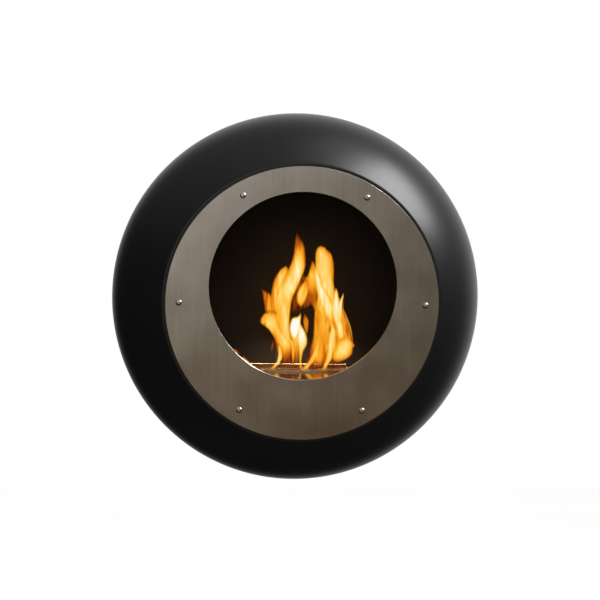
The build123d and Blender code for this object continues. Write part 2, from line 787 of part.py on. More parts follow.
# Wall bracket: a plate whose top edge is folded into an upright hook
bracket_section = folded_sheet(
    [
        (hook_out, hook_top),
        (hook_out, hook_floor - bracket_sheet),
        (bracket_sheet, hook_floor - bracket_sheet),
        (bracket_sheet, -bracket_half_height),
    ],
    bracket_sheet,
    bracket_fold,
)

with BuildPart() as wall_bracket:
    with BuildSketch(side_section(bracket_width / 2)):
        add(bracket_section)
    extrude(amount=bracket_width)
    side_edges = wall_bracket.edges().filter_by(Axis.Y)
    fillet(side_edges.group_by(Axis.Z)[0] + side_edges.group_by(Axis.Z)[-1], bracket_corner)
    with BuildSketch(facing_room(0)):
        with GridLocations(bolt_spacing_x, bolt_spacing_z, 2, 2):
            Circle(wall_hole_radius)
    extrude(amount=bracket_sheet, mode=Mode.SUBTRACT)
save(wall_bracket, "wall_bracket")

# Cleat: bolted to the rear shell, its leg drops behind the wall bracket's hook
cleat_section = folded_sheet(
    [
        (back_out, cleat_top),
        (back_out, cleat_fold),
        (cleat_leg_out, cleat_fold),
        (cleat_leg_out, cleat_leg_bottom),
    ],
    bracket_sheet,
    bracket_fold,
)

with BuildPart() as hanger_cleat:
    with BuildSketch(side_section(bracket_width / 2)):
        add(cleat_section)
    extrude(amount=bracket_width)
    fillet(hanger_cleat.edges().filter_by(Axis.Y).group_by(Axis.Z)[-1], bracket_corner)
    chamfer(hanger_cleat.edges().filter_by(Axis.X).group_by(Axis.Z)[0], cleat_lead_in)
    with BuildSketch(facing_room(cleat_back_out)):
        with Locations((0, cleat_bolt_z)):
            with GridLocations(cleat_bolt_spacing, 0, cleat_bolt_count, 1):
                Circle(hole_radius(cleat_thread))
    extrude(amount=bracket_sheet, mode=Mode.SUBTRACT)
save(hanger_cleat, "hanger_cleat")

with BuildPart() as cleat_doubler:
    with BuildSketch(facing_room(back_inner_out)):
        with Locations((0, cleat_bolt_z)):
            RectangleRounded(
                bracket_width - 2 * doubler_margin, cleat_flange - 2 * doubler_margin, bracket_corner
            )
            with GridLocations(cleat_bolt_spacing, 0, cleat_bolt_count, 1):
                Circle(hole_radius(cleat_thread), mode=Mode.SUBTRACT)
    extrude(amount=doubler_sheet)
save(cleat_doubler, "cleat_doubler")

with BuildPart() as cleat_washers:
    with BuildSketch(facing_room(doubler_out)):
        with Locations((0, cleat_bolt_z)):
            with GridLocations(cleat_bolt_spacing, 0, cleat_bolt_count, 1):
                Circle(washer_radius)
                Circle(hole_radius(cleat_thread), mode=Mode.SUBTRACT)
    extrude(amount=washer_sheet)
save(cleat_washers, "cleat_washers")

cleat_grip = bracket_sheet + shell_sheet + doubler_sheet + washer_sheet
cleat_bolt = hex_bolt(cleat_thread, cleat_grip + nut_height(cleat_thread) + thread_end)
cleat_nut = nut(cleat_thread)

with BuildPart() as cleat_bolts:
    with Locations(facing_wall(cleat_back_out)):
        with Locations((0, -cleat_bolt_z)):
            with GridLocations(cleat_bolt_spacing, 0, cleat_bolt_count, 1):
                add(cleat_bolt)
save(cleat_bolts, "cleat_bolts")

with BuildPart() as cleat_nuts:
    with Locations(facing_room(doubler_out + washer_sheet)):
        with Locations((0, cleat_bolt_z)):
            with GridLocations(cleat_bolt_spacing, 0, cleat_bolt_count, 1):
                add(cleat_nut)
save(cleat_nuts, "cleat_nuts")


# Rubber buffers: tapered feet that keep the body's lower half off the wall, pushed into the shell
bulb_start = -shell_sheet
bulb_end = bulb_start - buffer_bulb_length

with BuildPart() as rubber_buffer:
    with BuildSketch(Plane.XZ):
        with BuildLine():
            Polyline(
                (0, wall_gap),
                (0, bulb_end),
                (buffer_stem_radius, bulb_end),
                (buffer_bulb_radius, bulb_start),
                (buffer_stem_radius, bulb_start),
                (buffer_stem_radius, 0),
                (buffer_radius, 0),
                (buffer_tip_radius, wall_gap),
                close=True,
            )
        make_face()
    revolve(axis=Axis.Z)

with BuildPart() as wall_buffers:
    with Locations(facing_wall(back_out)):
        with PolarLocations(buffer_circle, 2, 90 - buffer_spread / 2, buffer_spread, endpoint=True):
            add(rubber_buffer.part)
save(wall_buffers, "wall_buffers")

# How far each moving body goes from its place at rest
print(f"fireplace off its hook: up {hang_lift:.1f}")
print(f"burner out of the floor: up {burner_lift:.1f}")
print(f"shutter over the slot: back {shutter_travel:.1f}")
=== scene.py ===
import json
from math import asin, cos, pi, radians, sin, sqrt

import bmesh
import bpy
import numpy as np
from bpy.props import FloatProperty, FloatVectorProperty, IntProperty, PointerProperty, StringProperty
from bpy.types import Operator, Panel, PropertyGroup
from mathutils import Matrix, Vector

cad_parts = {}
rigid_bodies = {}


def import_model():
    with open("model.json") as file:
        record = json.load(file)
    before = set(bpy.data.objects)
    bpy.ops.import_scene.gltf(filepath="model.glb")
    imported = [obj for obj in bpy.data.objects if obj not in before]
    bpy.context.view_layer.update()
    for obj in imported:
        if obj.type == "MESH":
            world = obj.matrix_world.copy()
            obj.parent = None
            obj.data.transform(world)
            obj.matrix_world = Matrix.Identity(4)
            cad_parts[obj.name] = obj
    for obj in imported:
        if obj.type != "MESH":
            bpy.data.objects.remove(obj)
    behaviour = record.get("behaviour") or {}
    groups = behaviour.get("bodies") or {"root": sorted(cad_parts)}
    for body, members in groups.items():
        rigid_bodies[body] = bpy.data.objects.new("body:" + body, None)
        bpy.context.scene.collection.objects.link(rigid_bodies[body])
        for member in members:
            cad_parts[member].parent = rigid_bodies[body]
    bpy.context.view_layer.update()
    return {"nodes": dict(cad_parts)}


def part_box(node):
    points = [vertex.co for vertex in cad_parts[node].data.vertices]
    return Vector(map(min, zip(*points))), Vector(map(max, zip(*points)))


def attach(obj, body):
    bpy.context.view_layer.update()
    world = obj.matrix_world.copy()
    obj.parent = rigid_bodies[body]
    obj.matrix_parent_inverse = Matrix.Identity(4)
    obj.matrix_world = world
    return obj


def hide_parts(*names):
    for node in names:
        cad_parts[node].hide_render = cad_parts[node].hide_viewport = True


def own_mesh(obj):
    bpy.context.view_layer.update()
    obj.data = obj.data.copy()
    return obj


bl_info = {
    "name": "Round wall fireplace",
    "version": (1, 0, 0),
    "blender": (4, 5, 0),
    "location": "3D View > Sidebar > Fireplace",
    "description": "Dresses the CAD frame of a round bioethanol wall fireplace with finishes and a flame",
    "category": "Object",
}

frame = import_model()
MM = 0.001

# X is to the right, Y into the wall and Z up, in metres. "Out" is a distance from the wall towards
# the room, so that a point at out lies at y = -out.
FRONT_LOW, FRONT_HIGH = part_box("front_shell")
_, REAR_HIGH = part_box("rear_shell")
TRIM_LOW, TRIM_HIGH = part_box("trim_plate")
SCREW_LOW, SCREW_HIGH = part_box("trim_screws")

BODY_RADIUS = min(FRONT_HIGH.x, FRONT_HIGH.z, -FRONT_LOW.z)
SEAM_OUT = -FRONT_HIGH.y
MOUTH_OUT = -FRONT_LOW.y
BACK_OUT = -REAR_HIGH.y
TRIM_RADIUS = TRIM_HIGH.x
TRIM_BACK_OUT = -TRIM_HIGH.y
TRIM_FRONT_OUT = -TRIM_LOW.y
SCREW_TOP_OUT = -SCREW_LOW.y
SCREW_END_OUT = -SCREW_HIGH.y

# Sizes that the boxes don't give, the same as in the CAD source
SHEET = 2 * MM
BACK_FLAT_RADIUS = 240 * MM
MOUTH_LEDGE = 5 * MM
SEAM_FLANGE = 28 * MM
SEAM_EDGE = 0.8 * MM
MOUTH_RADIUS = 182 * MM
OPENING_RADIUS = 147.5 * MM
OPENING_RISE = 27.5 * MM
TRIM_EDGE = 0.4 * MM
SCREW_CIRCLE = 194 * MM
SCREW_COUNT = 6
SCREW_HEAD_RADIUS = 4.75 * MM
SCREW_HEAD_RIM = 0.5 * MM
SCREW_FLAT_RADIUS = 2 * MM
SCREW_SHANK_RADIUS = 2.4 * MM
SOCKET_HALF = 1.5 * MM
SOCKET_DEPTH = 1.5 * MM

# How finely the new pieces are drawn
DOME_STEPS = 64
BEND_STEPS = 7
SCREW_SIDES = 48
SCREW_DOME_STEPS = 10
SUPPORT = 0.4 * MM  # from an edge to the line that keeps its flat face flat in the shading
SHARP = radians(30)  # faces that meet at more than this keep a crisp edge

PHOTO_SIDE = 600  # the photograph's width and height in pixels


# Sizes and colours that a user would change


class BodySettings(PropertyGroup):
    bend: FloatProperty(
        name="Dome bend",
        description="Length of the rounding where the dome meets its flat face",
        default=1.8 * MM,
        unit="LENGTH",
    )
    segments: IntProperty(name="Segments", description="Faces round the body", default=288, min=24)
    paint: StringProperty(
        name="Paint", description="Powder coat, as an sRGB hex value", default="#141414"
    )
    roughness: FloatProperty(
        name="Roughness",
        description="Satin of the powder coat",
        default=0.34,
        min=0,
        max=1,
        subtype="FACTOR",
    )


class TrimSettings(PropertyGroup):
    steel: StringProperty(
        name="Steel", description="Brushed steel, as an sRGB hex value", default="#DCD8D2"
    )
    roughness: FloatProperty(
        name="Roughness",
        description="Brushed steel's roughness",
        default=0.2,
        min=0,
        max=1,
        subtype="FACTOR",
    )
    grain: FloatProperty(
        name="Grain", description="Width of one brush mark", default=1.2 * MM, unit="LENGTH"
    )


class FlameSettings(PropertyGroup):
    strength: FloatProperty(name="Strength", description="Brightness of the flame", default=1.0, min=0)
    edge: FloatProperty(
        name="Soft edge",
        description="Width over which a tongue fades out",
        default=3.2 * MM,
        unit="LENGTH",
    )
    streak: FloatProperty(
        name="Streak width",
        description="Width of the streaks in the flame",
        default=10 * MM,
        unit="LENGTH",
    )


class StudioSettings(PropertyGroup):
    yaw: FloatProperty(
        name="Yaw", description="Camera to the left of the axis", default=radians(5.3), subtype="ANGLE"
    )
    pitch: FloatProperty(
        name="Pitch", description="Camera above the axis", default=radians(5.04), subtype="ANGLE"
    )
    roll: FloatProperty(
        name="Roll", description="Camera's tilt", default=radians(1.2), subtype="ANGLE"
    )
    distance: FloatProperty(
        name="Distance", description="Camera to the middle of the seam", default=2.5, unit="LENGTH"
    )
    lens: FloatProperty(name="Lens", description="Focal length in millimetres", default=91.5, min=1)
    shift: FloatVectorProperty(
        name="Shift", description="Camera's shift", default=(3.7 / PHOTO_SIDE, -2.5 / PHOTO_SIDE), size=2
    )
    floor_drop: FloatProperty(
        name="Floor", description="Axis of the fireplace to the floor", default=1.2, unit="LENGTH"
    )


SETTINGS = {
    "fireplace_body": BodySettings,
    "fireplace_trim": TrimSettings,
    "fireplace_flame": FlameSettings,
    "fireplace_studio": StudioSettings,
}


# Surfaces


def grid_faces(rows, columns, wrap_rows=False, wrap_columns=False):
    """Four corners of each face of a grid numbered row by row. A wrapped grid's last row or column
    joins its first."""
    index = np.arange(rows * columns).reshape(rows, columns)
    if wrap_rows:
        index = np.vstack([index, index[:1]])
    if wrap_columns:
        index = np.hstack([index, index[:, :1]])
    corners = [index[:-1, :-1], index[:-1, 1:], index[1:, 1:], index[1:, :-1]]
    return np.stack(corners, axis=-1).reshape(-1, 4)


def piece(name, grids, body, closed=True, values=None):
    """Joins grids of points, each with its faces, into one mesh that rides on a CAD body. A closed
    piece has the points that meet at seams and poles merged, and its faces turned outwards. Values
    are numbers kept at each point under a name."""
    points = np.concatenate([grid.reshape(-1, 3) for grid, _ in grids])
    starts = np.cumsum([0] + [grid.reshape(-1, 3).shape[0] for grid, _ in grids[:-1]])
    faces = np.concatenate([part + start for (_, part), start in zip(grids, starts)])
    mesh = bpy.data.meshes.new(name)
    mesh.from_pydata(points.tolist(), [], faces.tolist())
    for value_name, numbers in (values or {}).items():
        mesh.attributes.new(value_name, "FLOAT", "POINT").data.foreach_set("value", numbers)
    if closed:
        work = bmesh.new()
        work.from_mesh(mesh)
        bmesh.ops.remove_doubles(work, verts=work.verts, dist=1e-6)
        bmesh.ops.recalc_face_normals(work, faces=work.faces)
        work.to_mesh(mesh)
        work.free()
    mesh.shade_smooth()
    mesh.set_sharp_from_angle(angle=SHARP)
    made = bpy.data.objects.new(name, mesh)
    bpy.context.scene.collection.objects.link(made)
    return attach(made, body)


def spun(profile, segments):
    """Grid of a profile of (radius, out) points turned round the body's axis: at angle a a point is
    (radius cos a, -out, radius sin a)."""
    turn = np.linspace(0, 2 * pi, segments, endpoint=False)
    radius, out = np.asarray(profile).T[:, :, None]
    return np.stack([radius * np.cos(turn), -out + 0 * turn, radius * np.sin(turn)], axis=-1)


def eased(start, corner, end):
    """Points round a bend: the weighted mean of start, corner and end whose weights are (1-t)^2,
    2t(1-t) and t^2."""
    t = np.linspace(0, 1, BEND_STEPS)[:, None]
    return (1 - t) ** 2 * np.array(start) + 2 * t * (1 - t) * np.array(corner) + t**2 * np.array(end)


def half_shell(flat_out, flat_radius, bend):
    """(radius, out) points over a half shell's outside and inside, from the seam to the flat face.
    The dome is a quarter of an ellipse centred on the seam, with radius R cos a and depth D sin a,
    and D is such that the dome meets the flat face at the flat's edge."""
    side = 1 if flat_out > SEAM_OUT else -1
    depth = abs(flat_out - SEAM_OUT)
    dome = depth / sqrt(1 - (flat_radius / BODY_RADIUS) ** 2)

    def arc(radius, deep, first, last):
        angle = np.linspace(asin(first / deep), asin(last / deep), DOME_STEPS)
        return np.stack([radius * np.cos(angle), SEAM_OUT + side * deep * np.sin(angle)], axis=-1)

    outer = arc(BODY_RADIUS, dome, SEAM_EDGE, depth - bend * depth / BODY_RADIUS)
    rounding = eased(outer[-1], (flat_radius, flat_out), (flat_radius - bend, flat_out))
    inner = arc(BODY_RADIUS - SHEET, dome - SHEET, SHEET, depth - SHEET)
    return outer, rounding[1:], inner[::-1]


def support(edge, away, out):
    """Two points beside an edge on a flat face, so that the face stays flat in the shading."""
    step = SUPPORT if away > edge else -SUPPORT
    return [(edge + step, out), (away - step, out)]


def front_shell_profile(bend):
    """Closed line round the front shell's section."""
    flat_radius = TRIM_RADIUS + MOUTH_LEDGE
    outer, rounding, inner = half_shell(MOUTH_OUT, flat_radius, bend)
    flange = BODY_RADIUS - SEAM_FLANGE
    mouth_edge = [(MOUTH_RADIUS, MOUTH_OUT), (MOUTH_RADIUS, MOUTH_OUT - SHEET)]
    seam = [(flange, SEAM_OUT), *support(flange, BODY_RADIUS - SEAM_EDGE, SEAM_OUT)]
    return np.concatenate(
        [
            seam,
            [(BODY_RADIUS - SEAM_EDGE, SEAM_OUT)],
            outer,
            rounding,
            support(flat_radius - bend, MOUTH_RADIUS, MOUTH_OUT),
            mouth_edge,
            inner,
            [(flange, SEAM_OUT + SHEET)],
        ]
    )


def rear_shell_profile(bend):
    """Line round the rear shell's section, from the axis outside to the axis inside."""
    outer, rounding, inner = half_shell(BACK_OUT, BACK_FLAT_RADIUS, bend)
    flange = BODY_RADIUS - SEAM_FLANGE
    return np.concatenate(
        [
            [(0, BACK_OUT + SHEET)],
            inner,
            [(flange, SEAM_OUT - SHEET), (flange, SEAM_OUT)],
            support(flange, BODY_RADIUS - SEAM_EDGE, SEAM_OUT),
            [(BODY_RADIUS - SEAM_EDGE, SEAM_OUT)],
            outer,
            rounding,
            support(BACK_FLAT_RADIUS - bend, 0, BACK_OUT),
            [(0, BACK_OUT)],
        ]
    )


# Materials

MOST_NOISE = (0.3, 0.7)  # most of a noise pattern lies between these
ROUGHNESS_DRIFT = 0.02  # how far a finish's roughness strays from its setting


def linear(hex_value):
    """Linear colour of an sRGB hex value: c / 12.92 up to 0.04045, and ((c + 0.055) / 1.055)^2.4
    above it."""
    parts = np.array([int(hex_value[i : i + 2], 16) for i in (1, 3, 5)]) / 255
    low, high = parts / 12.92, ((parts + 0.055) / 1.055) ** 2.4
    return (*np.where(parts <= 0.04045, low, high).tolist(), 1.0)


def add(tree, kind, inputs=None, **settings):
    """Adds a node with its settings. Each input is a number, a colour or another node's output."""
    made = tree.nodes.new(kind)
    for name, value in settings.items():
        setattr(made, name, value)
    for socket, value in (inputs or {}).items():
        if isinstance(value, bpy.types.NodeSocket):
            tree.links.new(value, made.inputs[socket])
        else:
            made.inputs[socket].default_value = value
    return made


def finish(name, **sockets):
    """A new material and its shader, with what is the same all over set on the shader's sockets."""
    made = bpy.data.materials.new(name)
    made.use_nodes = True
    shader = made.node_tree.nodes["Principled BSDF"]
    for socket, value in sockets.items():
        shader.inputs[socket.replace("_", " ")].default_value = value
    return made, made.node_tree, shader


def pattern(tree, size, detail=2.0, distortion=0.0):
    """Noise from 0 to 1 whose patches measure size along X, Y and Z, in metres."""
    place = add(tree, "ShaderNodeTexCoord").outputs["Object"]
    scaled = add(tree, "ShaderNodeMapping", {"Vector": place, "Scale": [1 / s for s in size]})
    noise = add(
        tree,
        "ShaderNodeTexNoise",
        {"Vector": scaled.outputs[0], "Scale": 1.0, "Detail": detail, "Distortion": distortion},
    )
    return noise.outputs[0]


def tones(tree, factor, stops):
    """Colours at positions from 0 to 1 along a ramp, as sRGB hex values."""
    ramp = add(tree, "ShaderNodeValToRGB", {"Fac": factor})
    for number, (place, colour) in enumerate(stops):
        stop = ramp.color_ramp.elements[number] if number < 2 else ramp.color_ramp.elements.new(place)
        stop.position = place
        stop.color = linear(colour)
    return ramp.outputs[0]


def span(tree, factor, low, high, start=0.0, end=1.0, curve="LINEAR"):
    """A factor from start to end turned into a number from low to high."""
    inputs = {"Value": factor, "From Min": start, "From Max": end, "To Min": low, "To Max": high}
    return add(tree, "ShaderNodeMapRange", inputs, interpolation_type=curve).outputs[0]


def relief(tree, shader, height, depth, strength=1.0):
    """Bumps of that depth, in metres, where the height goes from 0 to 1."""
    bump = add(tree, "ShaderNodeBump", {"Height": height, "Distance": depth, "Strength": strength})
    tree.links.new(bump.outputs[0], shader.inputs["Normal"])


def join(tree, output, shader, socket):
    """Lets a node's output drive one of the shader's sockets."""
    tree.links.new(output, shader.inputs[socket])


def shades(name, size, stops, rough, sockets, bumps=None, detail=2.0, distortion=0.0):
    """A finish whose colour and roughness follow one pattern: stops for the colour, rough for the
    roughness at both ends, and bumps for the depth of its relief."""
    made, tree, shader = finish(name, **sockets)
    grain = pattern(tree, size, detail, distortion)
    join(tree, tones(tree, grain, stops), shader, "Base Color")
    join(tree, span(tree, grain, *rough, *MOST_NOISE), shader, "Roughness")
    if bumps:
        relief(tree, shader, grain, bumps)
    return made


def satin_black_powder_coat(look):
    """Steel spun to shape and powder coated in satin black: near black face on, with broad soft
    highlights, a pale rim where it turns away, and a fine orange peel."""
    made, tree, shader = finish("satin_black_powder_coat", IOR=1.5)
    peel = pattern(tree, [4 * MM] * 3, detail=1.0)  # real orange peel is about 1 mm, too fine to show
    cloud = pattern(tree, [160 * MM] * 3, detail=1.0)
    join(tree, tones(tree, cloud, [(0.3, "#111111"), (0.7, look.paint)]), shader, "Base Color")
    rough = (look.roughness - ROUGHNESS_DRIFT, look.roughness + ROUGHNESS_DRIFT)
    join(tree, span(tree, peel, *rough, *MOST_NOISE), shader, "Roughness")
    relief(tree, shader, peel, 0.012 * MM, 0.5)
    return made


def brushed_stainless_plate(look):
    """Stainless steel plate brushed up and down: warm grey, faintly cloudy, with fine upright marks.
    Real marks are 0.1 mm wide, so they are drawn wider to show."""
    made, tree, shader = finish("brushed_stainless_plate", Metallic=1.0)
    marks = pattern(tree, [look.grain, 4 * MM, 120 * MM])
    cloud = pattern(tree, [60 * MM, 60 * MM, 70 * MM], detail=3.0)
    inputs = {0: marks, 1: 0.45, 2: cloud}  # the marks count for under half as much as the cloud
    mixed = add(tree, "ShaderNodeMath", inputs, operation="MULTIPLY_ADD").outputs[0]
    tint = tones(tree, span(tree, mixed, 0, 1, 0.5, 0.95), [(0.0, "#C6C1BA"), (1.0, look.steel)])
    join(tree, tint, shader, "Base Color")
    rough = (look.roughness - ROUGHNESS_DRIFT, look.roughness + ROUGHNESS_DRIFT)
    join(tree, span(tree, cloud, *rough, *MOST_NOISE), shader, "Roughness")
    return made


def turned_stainless_screw():
    """Stainless button heads, turned and tumbled: bright, with faint rings and a dark socket."""
    return shades(
        "turned_stainless_screw",
        [1.5 * MM] * 3,
        [(0.3, "#C9C5BE"), (0.7, "#E2DFDA")],
        (0.18, 0.26),
        {"Metallic": 1.0},
    )


def matt_black_stove_paint():
    """Steel sheet under matt heat-resistant paint: nearly black and chalky, with a faint brown that
    is painted light of the flame.
    """
    return shades(
        "matt_black_stove_paint",
        [22 * MM] * 3,
        # painted light: the faint brown of these colours stands for the flame's warm light in the chamber
        [(0.3, "#0B0603"), (0.7, "#120A06")],
        (0.6, 0.7),
        {"IOR": 1.45},
        0.02 * MM,
        detail=4.0,
    )


def polished_stainless_burner():
    """Polished stainless sheet with a straw to brown tint in patches, which is painted orange light
    of the flame: mirrors the flame in long soft streaks, with a bright line along each rounded edge."""
    made, tree, shader = finish("polished_stainless_burner", Metallic=1.0)
    heat = pattern(tree, [60 * MM, 40 * MM, 30 * MM], detail=2.0)
    lines = pattern(tree, [1.5 * MM, 70 * MM, 6 * MM], detail=2.0)
    # painted light: the straw to brown tint stands for the flame's orange light on the steel; the pattern
    # named heat only lays it in patches
    tint = [(0.35, "#C4A88A"), (0.55, "#C79F72"), (0.75, "#8F6B48")]
    join(tree, tones(tree, heat, tint), shader, "Base Color")
    join(tree, span(tree, lines, 0.1, 0.16, *MOST_NOISE), shader, "Roughness")
    rounded = add(tree, "ShaderNodeBevel", {"Radius": 1.5 * MM}, samples=8).outputs[0]
    join(tree, rounded, shader, "Normal")
    return made


def mill_finish_stainless():
    """Stainless tank as rolled: even dull grey with a faint grain along the sheet."""
    return shades(
        "mill_finish_stainless",
        [3 * MM, 3 * MM, 40 * MM],
        [(0.3, "#9A9894"), (0.7, "#ACA9A4")],
        (0.32, 0.42),
        {"Metallic": 1.0},
    )


def ceramic_fibre_wool():
    """Pressed ceramic fibre: chalk white, soft, with tangled fibres and a slight scorch."""
    made, tree, shader = finish("ceramic_fibre_wool", Roughness=0.95, IOR=1.4)
    fibre = pattern(tree, [1.2 * MM, 5 * MM, 1.2 * MM], detail=5.0, distortion=1.5)
    join(tree, tones(tree, fibre, [(0.3, "#B7AFA2"), (0.7, "#E4E0D6")]), shader, "Base Color")
    relief(tree, shader, fibre, 0.5 * MM)
    return made


def graphite_fibre_seal():
    """Die-cut graphite fibre gasket: dark grey, dull, with a pressed weave."""
    made, tree, shader = finish("graphite_fibre_seal", Roughness=0.9)
    weave = pattern(tree, [1.5 * MM, 1.5 * MM, 1.5 * MM], detail=2.0)
    join(tree, tones(tree, weave, [(0.35, "#1C1C1E"), (0.65, "#343437")]), shader, "Base Color")
    relief(tree, shader, weave, 0.15 * MM)
    return made


def galvanised_sheet():
    """Hot-dip galvanised sheet: cool grey with spangle, flakes about 9 mm wide in several tones."""
    made, tree, shader = finish("galvanised_sheet", Metallic=1.0)
    place = add(tree, "ShaderNodeTexCoord").outputs["Object"]
    flakes = add(tree, "ShaderNodeTexVoronoi", {"Vector": place, "Scale": 1 / (9 * MM)})
    tone = add(tree, "ShaderNodeSeparateColor", {"Color": flakes.outputs["Color"]}).outputs[0]
    join(tree, tones(tree, tone, [(0.0, "#8C9093"), (1.0, "#B4B8BA")]), shader, "Base Color")
    join(tree, span(tree, tone, 0.3, 0.5), shader, "Roughness")
    return made


def textured_black_powder_coat():
    """Fine-textured black powder coat on the wall fixings: dark, grainy and dull."""
    return shades(
        "textured_black_powder_coat",
        [2 * MM] * 3,
        [(0.3, "#1B1B1C"), (0.7, "#29292A")],
        (0.5, 0.65),
        {},
        0.05 * MM,
        detail=3.0,
    )


def bright_zinc_plate():
    """Zinc-plated steel fasteners: pale, slightly blue and softly bright."""
    return shades(
        "bright_zinc_plate",
        [6 * MM] * 3,
        [(0.3, "#A9AFB5"), (0.7, "#C6CACC")],
        (0.26, 0.38),
        {"Metallic": 1.0},
    )


def moulded_black_rubber():
    """Moulded rubber feet: matt black with a dusty bloom."""
    return shades(
        "moulded_black_rubber",
        [8 * MM] * 3,
        [(0.3, "#161616"), (0.7, "#232322")],
        (0.75, 0.9),
        {},
        0.03 * MM,
        detail=4.0,
    )


def alcohol_flame(look):
    """Burning alcohol vapour, lit by glowing soot: clear at its edges, brown, orange, yellow and
    white as its heat rises, uneven in long upright streaks. It gives light and reflects none."""
    made, tree, shader = finish(
        "alcohol_flame", Roughness=1.0, Specular_IOR_Level=0.0, Emission_Strength=look.strength
    )
    shader.inputs["Base Color"].default_value = (0, 0, 0, 1)
    streaks = pattern(tree, [look.streak, 3 * look.streak, 6 * look.streak], 2.0, 0.8)
    heat = add(tree, "ShaderNodeAttribute", attribute_name="flame_heat").outputs["Fac"]
    cover = add(tree, "ShaderNodeAttribute", attribute_name="flame_cover").outputs["Fac"]
    uneven = span(tree, streaks, -0.17, 0.2, *MOST_NOISE)
    glow = add(tree, "ShaderNodeMath", {0: heat, 1: uneven}, operation="ADD").outputs[0]
    stops = [
        (0.0, "#2A0A01"),
        (0.16, "#7E2E05"),
        (0.3, "#C65F09"),
        (0.44, "#EE9119"),
        (0.57, "#FFB431"),
        (0.69, "#FFCE5C"),
        (0.8, "#FFE492"),
        (0.95, "#FFFBEA"),
    ]
    join(tree, tones(tree, span(tree, glow, 0, 1, 0, 1.25), stops), shader, "Emission Color")
    join(tree, cover, shader, "Alpha")
    return made


def dress(made, *nodes):
    """Gives a finish to CAD nodes, in the slot that each one came with."""
    for name in nodes:
        frame["nodes"][name].material_slots[0].material = made


# Flame

